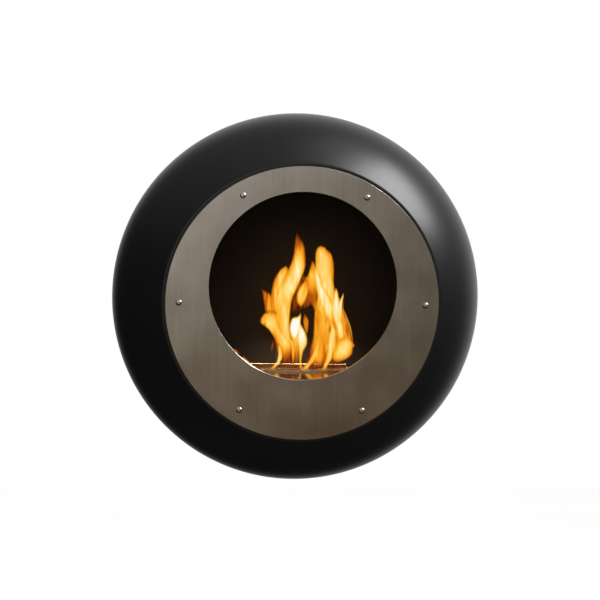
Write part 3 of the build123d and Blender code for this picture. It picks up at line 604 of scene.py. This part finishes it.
# Each tongue is seen from the room and stands in a sheet parallel to the wall. It has its distance
# out from the wall and rows of height, left edge, right edge and heat, in millimetres and from 0,
# dark, to 1.4, white.
TONGUES = [
    # Dim veils at the back: left horn, between the two masses, and wisps at both sides
    (84, [(16, -58.5, -57.5, 0.2), (10, -56.5, -51, 0.34), (5, -55, -42, 0.42),
          (-8, -52.5, -33, 0.5), (-20, -51, -32, 0.5), (-30, -50, -33, 0.42)]),
    (82, [(37, 13, 16, 0.22), (29, 9, 24, 0.32), (13, 1, 28, 0.32), (-3, -6, 30, 0.28),
          (-15, -9, 27, 0.25), (-24, -8, 10, 0.24), (-31, -6, 3, 0.16)]),
    (84, [(-70, -35, -33.5, 0.2), (-80, -38, -31, 0.32), (-90, -39.5, -33, 0.26),
          (-96, -39, -37, 0.12)]),
    (86, [(-74, 95, 97.5, 0.4), (-80, 92, 102, 0.45), (-87, 92, 99, 0.42), (-96, 91, 95.5, 0.25)]),
    # Left mass: rounded shoulder, tall tongue, round lobe with its stem
    (92, [(51, -18, -15.5, 0.55), (47, -24, -12.5, 0.68), (40, -29.5, -10, 0.76),
          (29, -36, -10, 0.78), (13, -40, -14, 0.76), (-8, -42, -16, 0.66), (-20, -41, -18, 0.56),
          (-30, -38, -20, 0.45)]),
    (98, [(107, -0.5, 0.5, 0.2), (98, -3.5, 6, 0.3), (90, -4, 10.5, 0.4), (81, -5, 14, 0.48),
          (73, -6, 15, 0.56), (65, -7, 16, 0.68), (57, -9, 16, 0.78), (51, -11.5, 16, 0.82),
          (44, -15, 14, 0.86), (38, -18, 12, 0.88), (29, -22, 8.5, 0.92), (13, -30, 2, 0.93),
          (-3, -34, -4.7, 0.84), (-20, -33, -7.5, 0.8), (-36, -33, -8, 0.78), (-52, -31, -7, 0.76),
          (-69, -29, -4, 0.74), (-85, -28, -3, 0.56), (-98, -28, -4, 0.32), (-112, -28, -5, 0.15)]),
    (100, [(-24, -45, -37, 0.64), (-27, -51.5, -31.5, 0.72), (-31, -55, -30, 0.76),
           (-36, -58, -28.5, 0.8), (-41, -58.6, -26.5, 0.8), (-45, -56.8, -25, 0.8),
           (-50, -50, -22.5, 0.8), (-55, -44, -19, 0.82), (-61, -39.5, -14.5, 0.85),
           (-68, -35.5, -10, 0.86), (-75, -33, -5.5, 0.82), (-83, -31, -3.5, 0.68),
           (-90, -30, -2.5, 0.45), (-101, -29, -1.5, 0.25), (-112, -29, -2, 0.12)]),
    (106, [(-76, -29.5, -25, 0.65), (-85, -30, -20.5, 0.75), (-93, -29, -19.5, 0.82),
           (-101, -30, -20, 0.86), (-107, -32, -23, 0.88), (-113, -37, -27, 0.85),
           (-118, -43.5, -32, 0.75), (-121.5, -52, -38, 0.5)]),
    (107, [(-66, -11, -8, 0.7), (-73, -10, -3, 0.8), (-81, -8, -1, 0.76), (-93, -7, 0.5, 0.62),
           (-105, -5.5, 0, 0.5), (-115, -5.5, -1, 0.25)]),
    # Middle: lens, dim lens, white core and the pale tongue under it
    (96, [(29, 15, 21, 0.6), (20, 8, 22.5, 0.68), (13, 4.5, 22, 0.76), (5, 1.5, 21, 0.8),
          (-2, 1, 19, 0.8), (-8, 1.5, 16.5, 0.78), (-14, 4, 13.5, 0.7), (-18.5, 8, 10, 0.6)]),
    (100, [(-26, 14, 16, 0.3), (-36, 12, 22, 0.42), (-44, 12.5, 23, 0.46), (-54, 14.5, 22.5, 0.42),
           (-62, 16.5, 20.5, 0.35), (-68, 18, 19.5, 0.25)]),
    (104, [(-62, -8, 6, 0.74), (-72, -7, 8, 0.72), (-82, -5, 8, 0.6), (-92, -4, 8, 0.45),
           (-104, -3, 7.5, 0.26), (-114, -2, 7, 0.12)]),
    (108, [(-31, 2, 9, 0.95), (-42, 1, 9, 1.0), (-50, 0, 13, 1.02), (-58, 0, 17.3, 1.02),
           (-66, 0, 19.9, 1.02), (-73, 1, 20.5, 1.0), (-79, 2.5, 19.5, 0.97), (-85, 4, 16.5, 0.94),
           (-92, 5, 13.7, 0.9), (-108, 6, 11.5, 0.88), (-114, 6.5, 13.5, 0.85),
           (-120, 8, 18, 0.7)]),
    (112, [(-22.5, 6.5, 7.2, 0.85), (-29, 3.5, 9, 1.0), (-32.5, -6, 9, 1.1), (-38, -9.3, 8.3, 1.3),
           (-46, -11, 7.5, 1.4), (-54, -11, 6, 1.35), (-62, -9.3, 4, 1.15), (-68, -7, 2, 0.95),
           (-73, -4.5, -1, 0.8)]),
    # Right mass: its base, left horn, tall rounded tongue, bright bands and small peaks
    (86, [(15, 44, 62, 0.5), (-5, 35, 76.5, 0.66), (-15, 34, 78, 0.7), (-22, 32.5, 82, 0.7),
          (-32, 32, 86.5, 0.66), (-42, 31.5, 90.5, 0.62), (-52, 31.5, 93.5, 0.6),
          (-63, 31, 95.5, 0.58), (-72, 30, 96.7, 0.6), (-80, 28, 97, 0.6), (-89, 26, 96.5, 0.56),
          (-95, 24, 93, 0.5), (-103, 21.5, 84, 0.4), (-110, 18.5, 72, 0.28), (-118, 13, 62, 0.15)]),
    (88, [(60.5, 26, 27.5, 0.5), (54, 24.5, 32, 0.66), (44, 22, 34, 0.74), (36, 19.5, 36, 0.7),
          (30, 15, 37, 0.66), (22, 16, 38, 0.6), (12, 18, 38, 0.5), (2, 19, 38, 0.4),
          (-8, 22.5, 38, 0.38), (-17, 28.5, 38, 0.42), (-25, 32, 38, 0.35)]),
    (92, [(85, 38.5, 42, 0.55), (82.5, 35, 48, 0.68), (79, 32.7, 51, 0.76), (75, 31.5, 55.5, 0.8),
          (70, 30.8, 59, 0.83), (62, 30.8, 62, 0.85), (50, 30.8, 63.5, 0.87), (26, 30.5, 64, 0.88),
          (5, 35, 67, 0.86), (-7, 36, 69, 0.84), (-20, 36, 70, 0.78), (-32, 37, 68, 0.66)]),
    (96, [(-30, 33, 56, 0.66), (-50, 32.5, 52, 0.7), (-70, 31, 50, 0.68), (-88, 28, 52, 0.62),
          (-104, 23, 54, 0.45), (-116, 16, 50, 0.2)]),
    (100, [(50, 28.5, 32, 0.85), (38, 28.5, 39, 0.98), (30, 30, 42.5, 1.05), (20, 32, 46, 1.02),
           (8, 34.5, 53, 0.96), (-3, 37.5, 60, 0.94), (-12, 40, 64, 0.95), (-20, 43, 65.5, 0.92),
           (-28, 47, 64, 0.88), (-36, 52.5, 63, 0.82), (-44, 56, 61.5, 0.7)]),
    (102, [(16, 64.5, 67, 0.7), (10, 62.5, 70, 0.84), (3, 61, 71.5, 0.92), (-6, 60, 72.5, 0.98),
           (-15, 59, 74, 1.0), (-25, 59.5, 75.5, 0.98), (-35, 62, 77, 0.95),
           (-44, 65.5, 79.5, 0.98), (-52, 67.5, 81, 0.96), (-60, 68.5, 82.5, 0.86),
           (-67, 70, 83, 0.75), (-74, 73, 82, 0.6)]),
    (104, [(9.5, 77.5, 78.5, 0.7), (3, 74.7, 79.7, 0.9), (-3, 71.8, 78.6, 0.98),
           (-10, 69.5, 78, 1.0), (-20, 68, 77.7, 0.98), (-32, 67.5, 77.5, 0.9),
           (-43, 69, 76, 0.7)]),
    (105, [(-14, 75, 77.5, 0.5), (-25, 79, 83, 0.6), (-35, 83.5, 87.5, 0.62),
           (-46, 87.5, 91.8, 0.62), (-56, 90.5, 94.5, 0.62), (-68, 92.5, 96.3, 0.62),
           (-80, 93.3, 97, 0.6), (-90, 93, 96, 0.45)]),
    (106, [(-43, 58, 63, 0.7), (-55, 56, 68, 0.8), (-68, 55, 68.5, 0.84), (-82, 53, 68, 0.84),
           (-95, 51, 64, 0.84), (-105, 49, 60, 0.86), (-113, 46, 55.5, 0.86),
           (-120.5, 43, 53, 0.75)]),
    (107, [(-62, 32, 37, 0.55), (-76, 32.5, 41, 0.68), (-88, 29.5, 40, 0.74), (-98, 25, 37, 0.76),
           (-106, 20.5, 32.5, 0.78), (-113, 14.5, 26.5, 0.8), (-120.5, 10, 21.5, 0.7)]),
    (110, [(-64.5, 77, 86, 0.7), (-68, 72, 91, 0.8), (-73, 68, 95, 0.85), (-80, 64.5, 96, 0.87),
           (-87, 61.5, 95.8, 0.86), (-93, 60.5, 94.5, 0.82), (-98, 60.5, 90, 0.76),
           (-102, 62, 84, 0.68), (-106, 66, 76, 0.5)]),
    # Small flames at the slot's left end
    (90, [(-85, -101, -99, 0.2), (-88, -101, -96, 0.42), (-92, -100, -91, 0.44),
          (-97, -97, -88, 0.35)]),
    (100, [(-97.5, -85.7, -84, 0.6), (-102, -86.5, -80, 0.86), (-107, -87, -74.5, 0.94),
           (-112, -87, -70.5, 0.9), (-120, -86, -68, 0.7)]),
]

# Dim gaps between the tongues, in the same terms
SHADES = [
    (99, [(10, -20, -17, 0.5), (0, -21, -12, 0.46), (-10, -18, -9, 0.44), (-21, -13, -9, 0.5)]),
    (109, [(-41, 55, 56, 0.25), (-46, 53.5, 59, 0.16), (-53, 53, 60, 0.14), (-61, 55, 58, 0.25)]),
    (109, [(-59, 67.5, 69, 0.4), (-68, 66.5, 71, 0.34), (-77, 66, 69, 0.4)]),
    (104, [(-37, 83, 86, 0.3), (-46, 82, 88.5, 0.2), (-56, 82, 90, 0.18), (-64, 84, 91, 0.25)]),
    (97, [(-72, 42, 48, 0.5), (-82, 40, 50, 0.46), (-94, 38, 50, 0.44), (-106, 36, 48, 0.4)]),
]

# Sheets turned side on, which give the flame its depth: distance to the right of the axis, and
# rows of height, near and far edge as distances out from the wall, and heat
DEPTH_TONGUES = [
    (-30, [(36, 88, 98, 0.5), (20, 82, 104, 0.6), (-20, 76, 108, 0.66), (-60, 74, 110, 0.7),
           (-95, 80, 106, 0.5), (-118, 86, 102, 0.2)]),
    (-12, [(42, 88, 100, 0.6), (24, 80, 106, 0.7), (-10, 76, 110, 0.7), (-50, 78, 112, 0.8),
           (-90, 84, 108, 0.5), (-118, 90, 104, 0.2)]),
    (6, [(96, 92, 95, 0.3), (80, 88, 99, 0.4), (50, 84, 104, 0.7), (20, 82, 106, 0.66),
         (-10, 88, 102, 0.4)]),
    (42, [(74, 90, 98, 0.6), (50, 84, 104, 0.8), (10, 78, 108, 0.8), (-40, 76, 110, 0.66),
          (-90, 78, 112, 0.5), (-118, 88, 108, 0.2)]),
    (62, [(60, 90, 96, 0.6), (36, 84, 102, 0.7), (0, 80, 106, 0.8), (-40, 76, 110, 0.7),
          (-80, 74, 114, 0.7), (-112, 84, 108, 0.2)]),
    (80, [(2, 92, 98, 0.5), (-14, 86, 104, 0.7), (-40, 80, 108, 0.7), (-80, 78, 112, 0.7),
          (-104, 86, 108, 0.3)]),
]
SIDE_MIDDLE = 94  # the flame's middle, out from the wall
SIDE_LEAN = 0.09  # side-on sheets come this share of their depth to the left towards the room

# How a tongue is drawn and fades, in millimetres and shares
TONGUE_ACROSS, TONGUE_ALONG = 25, 64  # points of its grid
NARROWEST = 0.05  # its width at a tip
BULGE, BULGE_LIMIT = 0.45, 6  # how far its middle stands proud: a share of its half width, and at most
CORE_SHARE, CORE_EDGES = 0.7, 4  # where its core starts: a share of its depth, or so many soft edges in
RIM_HEAT, CORE_HEAT = 0.66, 1.06  # shares of its heat at its outline and in its core
FOOT, FOOT_COVER = 8, 0.35  # height over which its lowest end fades, and the share of cover left there
COVERING_HEAT = 0.5  # a tongue less hot than this covers less
SHADE_COVER = 0.75
SIDE_COVER = 0.6  # side-on sheets are fainter than those that face the room


def smoothed(rows, count):
    """Points on a curve through the rows. Between two rows it is the cubic that leaves and reaches
    them at half the step from the row before each to the row after it."""
    rows = np.asarray(rows, float)
    slopes = np.gradient(rows, axis=0)
    along = np.linspace(0, len(rows) - 1, count)
    row = np.minimum(along.astype(int), len(rows) - 2)
    t = (along - row)[:, None]
    leave = (2 * t**3 - 3 * t**2 + 1) * rows[row] + (t**3 - 2 * t**2 + t) * slopes[row]
    reach = (3 * t**2 - 2 * t**3) * rows[row + 1] + (t**3 - t**2) * slopes[row + 1]
    return leave + reach


def levelled(share):
    """Goes from 0 to 1 as the share does, level at both ends: 3s^2 - 2s^3."""
    return 3 * share**2 - 2 * share**3


def tongue(place, rows, edge, side_on=False, shade=False):
    """One tongue of flame as a sheet. Across it u is the sine of an angle from -90 to 90 degrees: a
    point lies at the middle plus u times the half width, and stands proud by the bulge times the
    half width, at most the bulge's limit, times 1 - u^2. With s the distance to the tongue's outline
    over the soft edge, at most 1, its cover is 3s^2 - 2s^3, less where it is dim and at its foot, and
    its heat rises likewise from its outline to its core. A shade is a dim tongue that covers well."""
    high, near, far, heat = (column[:, None] for column in smoothed(rows, TONGUE_ALONG).T)
    u = np.sin(np.linspace(-pi / 2, pi / 2, TONGUE_ACROSS))[None, :]
    half = np.maximum(far - near, NARROWEST) / 2
    wide = (near + far) / 2 + u * half
    outline = np.concatenate([np.hstack([near, high]), np.hstack([far, high])])
    high = high + 0 * wide
    gap = np.hypot(wide[..., None] - outline[:, 0], high[..., None] - outline[:, 1]).min(axis=-1) * MM
    core = min(CORE_SHARE * gap.max(), CORE_EDGES * edge)
    glow = heat * (RIM_HEAT + (CORE_HEAT - RIM_HEAT) * levelled(np.clip(gap / core, 0, 1)))
    foot = np.clip((high - high.min()) / FOOT, 0, 1)
    cover = levelled(np.clip(gap / edge, 0, 1)) * (FOOT_COVER + (1 - FOOT_COVER) * foot)
    cover = cover * (SHADE_COVER if shade else np.clip(heat / COVERING_HEAT, 0, 1))
    if side_on:
        points = [place - SIDE_LEAN * (wide - SIDE_MIDDLE), -wide, high]
        cover = SIDE_COVER * cover
    else:
        proud = place + np.minimum(BULGE * half, BULGE_LIMIT) * (1 - u**2)
        points = [wide, -proud, high]
    grid = np.stack(points, axis=-1) * MM
    return grid, grid_faces(TONGUE_ALONG, TONGUE_ACROSS), glow.ravel(), cover.ravel()


# Operators


class FIREPLACE_OT_spun_body(Operator):
    """Spin the smooth front and rear half shells over the CAD ones"""

    bl_idname = "fireplace.spun_body"
    bl_label = "Spun body"

    def execute(self, context):
        look = context.scene.fireplace_body
        paint = satin_black_powder_coat(look)
        shells = (
            ("front_shell", front_shell_profile(look.bend), True),
            ("rear_shell", rear_shell_profile(look.bend), False),
        )
        for name, profile, closed_ring in shells:
            grid = spun(profile, look.segments)
            faces = grid_faces(len(profile), look.segments, wrap_rows=closed_ring, wrap_columns=True)
            shell = piece("spun_" + name, [(grid, faces)], "housing")
            shell.data.materials.append(paint)
            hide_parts(name)
        return {"FINISHED"}


class FIREPLACE_OT_trim_plate(Operator):
    """Lay the brushed trim plate, a ring whose opening sits high"""

    bl_idname = "fireplace.trim_plate"
    bl_label = "Trim plate"

    def execute(self, context):
        look = context.scene.fireplace_trim
        segments = context.scene.fireplace_body.segments
        inner = OPENING_RADIUS
        # Rings of (height of the centre, radius, out) round the plate's section
        rings = [
            (0, TRIM_RADIUS, TRIM_BACK_OUT),
            (0, TRIM_RADIUS, TRIM_FRONT_OUT - TRIM_EDGE),
            (0, TRIM_RADIUS - TRIM_EDGE, TRIM_FRONT_OUT),
            (0, TRIM_RADIUS - TRIM_EDGE - SUPPORT, TRIM_FRONT_OUT),
            (OPENING_RISE, inner + TRIM_EDGE + SUPPORT, TRIM_FRONT_OUT),
            (OPENING_RISE, inner + TRIM_EDGE, TRIM_FRONT_OUT),
            (OPENING_RISE, inner, TRIM_FRONT_OUT - TRIM_EDGE),
            (OPENING_RISE, inner, TRIM_BACK_OUT),
        ]
        turn = np.linspace(0, 2 * pi, segments, endpoint=False)
        rise, radius, out = np.array(rings).T[:, :, None]
        grid = np.stack([radius * np.cos(turn), -out + 0 * turn, rise + radius * np.sin(turn)], axis=-1)
        faces = grid_faces(len(rings), segments, wrap_rows=True, wrap_columns=True)
        plate = piece("brushed_trim_plate", [(grid, faces)], "housing")
        plate.data.materials.append(brushed_stainless_plate(look))
        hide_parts("trim_plate")
        return {"FINISHED"}


class FIREPLACE_OT_trim_screws(Operator):
    """Turn the six button-head screws with their hexagon sockets"""

    bl_idname = "fireplace.trim_screws"
    bl_label = "Trim screws"

    def execute(self, context):
        # Rings from the bottom of the socket over the domed head and down the shank. The socket's
        # rings reach SOCKET_HALF / cos b, b being the angle to the middle of the nearest side.
        turn = np.linspace(0, 2 * pi, SCREW_SIDES, endpoint=False)
        hexagon = SOCKET_HALF / np.cos((turn % (pi / 3)) - pi / 6)
        top, seat = SCREW_TOP_OUT, TRIM_FRONT_OUT
        swell = np.linspace(0, 1, SCREW_DOME_STEPS)
        widening = SCREW_HEAD_RADIUS - SCREW_FLAT_RADIUS
        dome_radius = SCREW_FLAT_RADIUS + widening * np.sin(swell * pi / 2)
        dome_out = seat + SCREW_HEAD_RIM + (top - seat - SCREW_HEAD_RIM) * np.cos(swell * pi / 2)
        rings = [
            (0 * turn, top - SOCKET_DEPTH),
            (hexagon, top - SOCKET_DEPTH),
            (hexagon, top),
            *[(radius + 0 * turn, out) for radius, out in zip(dome_radius, dome_out)],
            (SCREW_HEAD_RADIUS + 0 * turn, seat),
            (SCREW_SHANK_RADIUS + 0 * turn, seat),
            (SCREW_SHANK_RADIUS + 0 * turn, SCREW_END_OUT),
            (0 * turn, SCREW_END_OUT),
        ]
        radius = np.array([r for r, _ in rings])
        out = np.array([o for _, o in rings])[:, None]
        head = np.stack([radius * np.cos(turn), -out + 0 * turn, radius * np.sin(turn)], axis=-1)
        faces = grid_faces(len(rings), len(turn), wrap_columns=True)
        places = [2 * pi * k / SCREW_COUNT for k in range(SCREW_COUNT)]
        screws = [
            (head + np.array([SCREW_CIRCLE * cos(a), 0, SCREW_CIRCLE * sin(a)]), faces) for a in places
        ]
        made = piece("button_head_screws", screws, "housing")
        made.data.materials.append(turned_stainless_screw())
        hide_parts("trim_screws")
        return {"FINISHED"}


class FIREPLACE_OT_fire_chamber(Operator):
    """Paint the fire chamber and its fixings, and finish the gasket behind the trim plate"""

    bl_idname = "fireplace.fire_chamber"
    bl_label = "Fire chamber"

    def execute(self, context):
        chamber = ("chamber_wall", "chamber_back", "chamber_floor", "chamber_rivets", "floor_screws")
        dress(matt_black_stove_paint(), *chamber)
        dress(graphite_fibre_seal(), "mouth_gasket")
        return {"FINISHED"}


class FIREPLACE_OT_burner(Operator):
    """Finish the burner: top plate, rails, shutter and mesh, the tank and its ceramic wool"""

    bl_idname = "fireplace.burner"
    bl_label = "Burner"

    def execute(self, context):
        dress(polished_stainless_burner(), "burner_top", "shutter_rails", "shutter", "burner_mesh")
        dress(mill_finish_stainless(), "burner_tank")
        dress(ceramic_fibre_wool(), "burner_wool")
        return {"FINISHED"}


class FIREPLACE_OT_fixings(Operator):
    """Finish the wall fixings, the heat shield and the fasteners inside the body"""

    bl_idname = "fireplace.fixings"
    bl_label = "Wall fixings"

    def execute(self, context):
        dress(textured_black_powder_coat(), "wall_bracket", "hanger_cleat")
        dress(galvanised_sheet(), "heat_shield", "cleat_doubler")
        dress(moulded_black_rubber(), "wall_buffers")
        bolts = ("seam_bolts", "seam_nuts", "mouth_nuts", "floor_nuts", "cleat_bolts", "cleat_nuts")
        studs = ("cleat_washers", "shield_studs", "shield_spacers", "shield_nuts")
        dress(bright_zinc_plate(), *bolts, *studs)
        return {"FINISHED"}


class FIREPLACE_OT_flame(Operator):
    """Light the flame over the burner's slot"""

    bl_idname = "fireplace.flame"
    bl_label = "Flame"

    def execute(self, context):
        look = context.scene.fireplace_flame
        glow = alcohol_flame(look)
        facing = [tongue(place, rows, look.edge) for place, rows in TONGUES]
        facing += [tongue(place, rows, look.edge, shade=True) for place, rows in SHADES]
        side_on = [tongue(place, rows, look.edge, side_on=True) for place, rows in DEPTH_TONGUES]
        for name, made in (("flame_tongues", facing), ("flame_depth", side_on)):
            heat = np.concatenate([part[2] for part in made])
            cover = np.concatenate([part[3] for part in made])
            sheets = piece(
                name,
                [(grid, faces) for grid, faces, _, _ in made],
                "burner",
                closed=False,
                values={"flame_heat": heat, "flame_cover": cover},
            )
            sheets.data.materials.append(glow)
            sheets.visible_shadow = False
            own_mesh(sheets)
        return {"FINISHED"}


# Stage

FLOOR_REACH = 4.0  # from the middle of the floor to its sides


def direction(azimuth, elevation):
    """Unit vector from the object: azimuth 0 is towards the room, 90 to the right."""
    a, e = radians(azimuth), radians(elevation)
    return Vector((sin(a) * cos(e), -cos(a) * cos(e), sin(e)))


def lamp(name, place, light_from, size, watts, tint):
    """A soft rectangular lamp at a place, whose light comes from a direction. The camera sees only
    what it lights."""
    data = bpy.data.lights.new(name, "AREA")
    data.shape = "RECTANGLE"
    data.size, data.size_y = size
    data.energy = watts
    data.color = linear(tint)[:3]
    made = bpy.data.objects.new(name, data)
    made.location = place
    made.rotation_euler = light_from.to_track_quat("Z", "Y").to_euler()
    made.visible_camera = False
    bpy.context.scene.collection.objects.link(made)
    return made


def softbox(name, azimuth, elevation, distance, size, watts):
    """A square soft lamp that faces the fireplace from afar."""
    towards = direction(azimuth, elevation)
    place = Vector((0, -SEAM_OUT, 0)) + towards * distance
    lamp(name, place, towards, (size, size), watts, "#FFFFFF")


def glints_lamp():
    """The flame's glints on the burner: a small warm lamp over the slot. It goes behind the chamber's
    back with the closing shutter."""
    over_slot = Vector((20, -SIDE_MIDDLE, -35)) * MM
    from_above = Vector((0, 0, 1))
    glints = lamp("flame_glints", over_slot, from_above, (170 * MM, 40 * MM), 0.5, "#FFDCB8")
    glints.data.spread = radians(100)
    glints.visible_diffuse = False  # the flame's own sheets light the chamber
    glints.parent = bpy.data.objects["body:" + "shutter_plate"]


def plain_world():
    """Plain grey light all round, and white where the camera or glass sees the background. Metal and
    paint see white behind the fireplace, a pale ceiling, a dark room at the sides and below, and
    before it a patch that dims and warms downwards and to the right, over a grey floor."""
    world = bpy.data.worlds.new("studio")
    world.use_nodes = True
    tree = world.node_tree
    ray = add(tree, "ShaderNodeLightPath").outputs
    towards = add(tree, "ShaderNodeTexCoord").outputs["Generated"]
    x, y, z = add(tree, "ShaderNodeSeparateXYZ", {0: towards}).outputs
    white = linear("#FFFFFF")

    def mixed(factor, first, second):
        inputs = {0: factor, 6: first, 7: second}
        return add(tree, "ShaderNodeMix", inputs, data_type="RGBA").outputs[2]

    def both(first, second, operation, third=0.0):
        inputs = {0: first, 1: second, 2: third}
        return add(tree, "ShaderNodeMath", inputs, operation=operation).outputs[0]

    # The room goes by the height of a direction, taken as a little higher on the right
    lift = both(both(x, 0.0, "MAXIMUM"), 0.3, "MULTIPLY_ADD", z)
    room_tones = [(0.0, "#161412"), (0.4, "#343230"), (1.0, "#9C9A97")]
    room = tones(tree, span(tree, lift, 0, 1, -0.2, 0.95), room_tones)
    # The patch goes by height and by the distance to the right, and its lower part is warmer
    level = both(span(tree, z, 0, 1, -0.2, 0.1), span(tree, x, 1, 0.15, -0.06, 0.2), "MULTIPLY")
    cool = tones(tree, level, [(0.0, "#3E372E"), (0.2, "#7C7368"), (0.5, "#BFB9B1"), (1.0, "#FFFEFC")])
    warm = tones(tree, level, [(0.0, "#49310A"), (0.2, "#7C6A48"), (0.5, "#BFB399"), (1.0, "#FFF4DC")])
    patch = mixed(span(tree, z, 1, 0, -0.17, -0.1), cool, warm)
    patch = mixed(span(tree, z, 1, 0, -0.4, -0.28), patch, linear("#7A756E"))
    ahead = span(tree, y, 1, 0, -0.94, -0.8, "SMOOTHSTEP")
    # The white behind reaches further round on the right and above
    edge_on = both(x, 0.35, "MULTIPLY_ADD", both(z, 0.25, "MULTIPLY_ADD", y))
    behind = span(tree, edge_on, 0, 1, 0.4, 1.1, "SMOOTHSTEP")
    mirrored = mixed(behind, mixed(ahead, room, patch), white)
    lit = mixed(ray["Is Glossy Ray"], linear("#C0C0C0"), mirrored)
    seen = both(ray["Is Camera Ray"], ray["Is Transmission Ray"], "MAXIMUM")
    tree.links.new(mixed(seen, lit, white), tree.nodes["Background"].inputs["Color"])
    return world


def pale_floor(drop):
    """A plain pale floor. The camera sees it near white, and it keeps the object's shadow."""
    reach = FLOOR_REACH
    corners = [(-reach, -reach / 2), (reach, -reach / 2), (reach, reach), (-reach, reach)]
    mesh = bpy.data.meshes.new("floor")
    mesh.from_pydata([(x, y, -drop) for x, y in corners], [], [(0, 1, 2, 3)])
    floor = bpy.data.objects.new("floor", mesh)
    bpy.context.scene.collection.objects.link(floor)
    made, tree, shader = finish("pale_floor", Roughness=0.9)
    cloud = pattern(tree, [0.5, 0.5, 0.5])
    join(tree, tones(tree, cloud, [(0.3, "#EDEDEC"), (0.7, "#F3F3F2")]), shader, "Base Color")
    seen = add(tree, "ShaderNodeLightPath").outputs["Is Camera Ray"]
    join(tree, span(tree, seen, 0.0, 0.5), shader, "Emission Strength")
    shader.inputs["Emission Color"].default_value = (1, 1, 1, 1)
    floor.data.materials.append(made)
    floor.visible_glossy = False  # the photograph's metal and paint see no floor before them


class FIREPLACE_OT_studio(Operator):
    """Set the floor, the lamps, the background and the camera at the photograph's angle"""

    bl_idname = "fireplace.studio"
    bl_label = "Studio"

    def execute(self, context):
        scene = context.scene
        look = scene.fireplace_studio
        scene.view_settings.view_transform = "Standard"
        scene.world = plain_world()
        pale_floor(look.floor_drop)
        softbox("softbox_right", azimuth=61, elevation=40, distance=1.7, size=0.9, watts=32)
        softbox("softbox_top", azimuth=60, elevation=62, distance=2.2, size=1.2, watts=3)
        glints_lamp()
        across = cos(look.pitch)
        forward = Vector((sin(look.yaw) * across, cos(look.yaw) * across, -sin(look.pitch)))
        place = Vector((0, -SEAM_OUT, 0)) - forward * look.distance
        aim = forward.to_track_quat("-Z", "Y").to_matrix().to_4x4()
        camera = bpy.data.objects.new("camera", bpy.data.cameras.new("camera"))
        camera.data.lens = look.lens
        camera.data.shift_x, camera.data.shift_y = look.shift
        camera.data.clip_start, camera.data.clip_end = 0.1, 50
        camera.matrix_world = Matrix.Translation(place) @ aim @ Matrix.Rotation(look.roll, 4, "Z")
        scene.collection.objects.link(camera)
        scene.camera = camera
        return {"FINISHED"}


OPERATORS = (
    FIREPLACE_OT_spun_body,
    FIREPLACE_OT_trim_plate,
    FIREPLACE_OT_trim_screws,
    FIREPLACE_OT_fire_chamber,
    FIREPLACE_OT_burner,
    FIREPLACE_OT_fixings,
    FIREPLACE_OT_flame,
    FIREPLACE_OT_studio,
)


class FIREPLACE_PT_panel(Panel):
    """The fireplace's pieces and settings in the 3D view's sidebar"""

    bl_idname = "FIREPLACE_PT_panel"
    bl_label = "Round wall fireplace"
    bl_space_type = "VIEW_3D"
    bl_region_type = "UI"
    bl_category = "Fireplace"

    def draw(self, context):
        for operator in OPERATORS:
            self.layout.operator(operator.bl_idname)
        for name, group in SETTINGS.items():
            box = self.layout.box()
            for setting in group.__annotations__:
                box.prop(getattr(context.scene, name), setting)


CLASSES = (*SETTINGS.values(), *OPERATORS, FIREPLACE_PT_panel)


def register():
    for made in CLASSES:
        bpy.utils.register_class(made)
    for name, group in SETTINGS.items():
        setattr(bpy.types.Scene, name, PointerProperty(type=group))


def unregister():
    for name in SETTINGS:
        delattr(bpy.types.Scene, name)
    for made in reversed(CLASSES):
        bpy.utils.unregister_class(made)


def main():
    register()
    for operator in OPERATORS:
        group, name = operator.bl_idname.split(".")
        getattr(getattr(bpy.ops, group), name)()


if __name__ == "__main__":
    main()
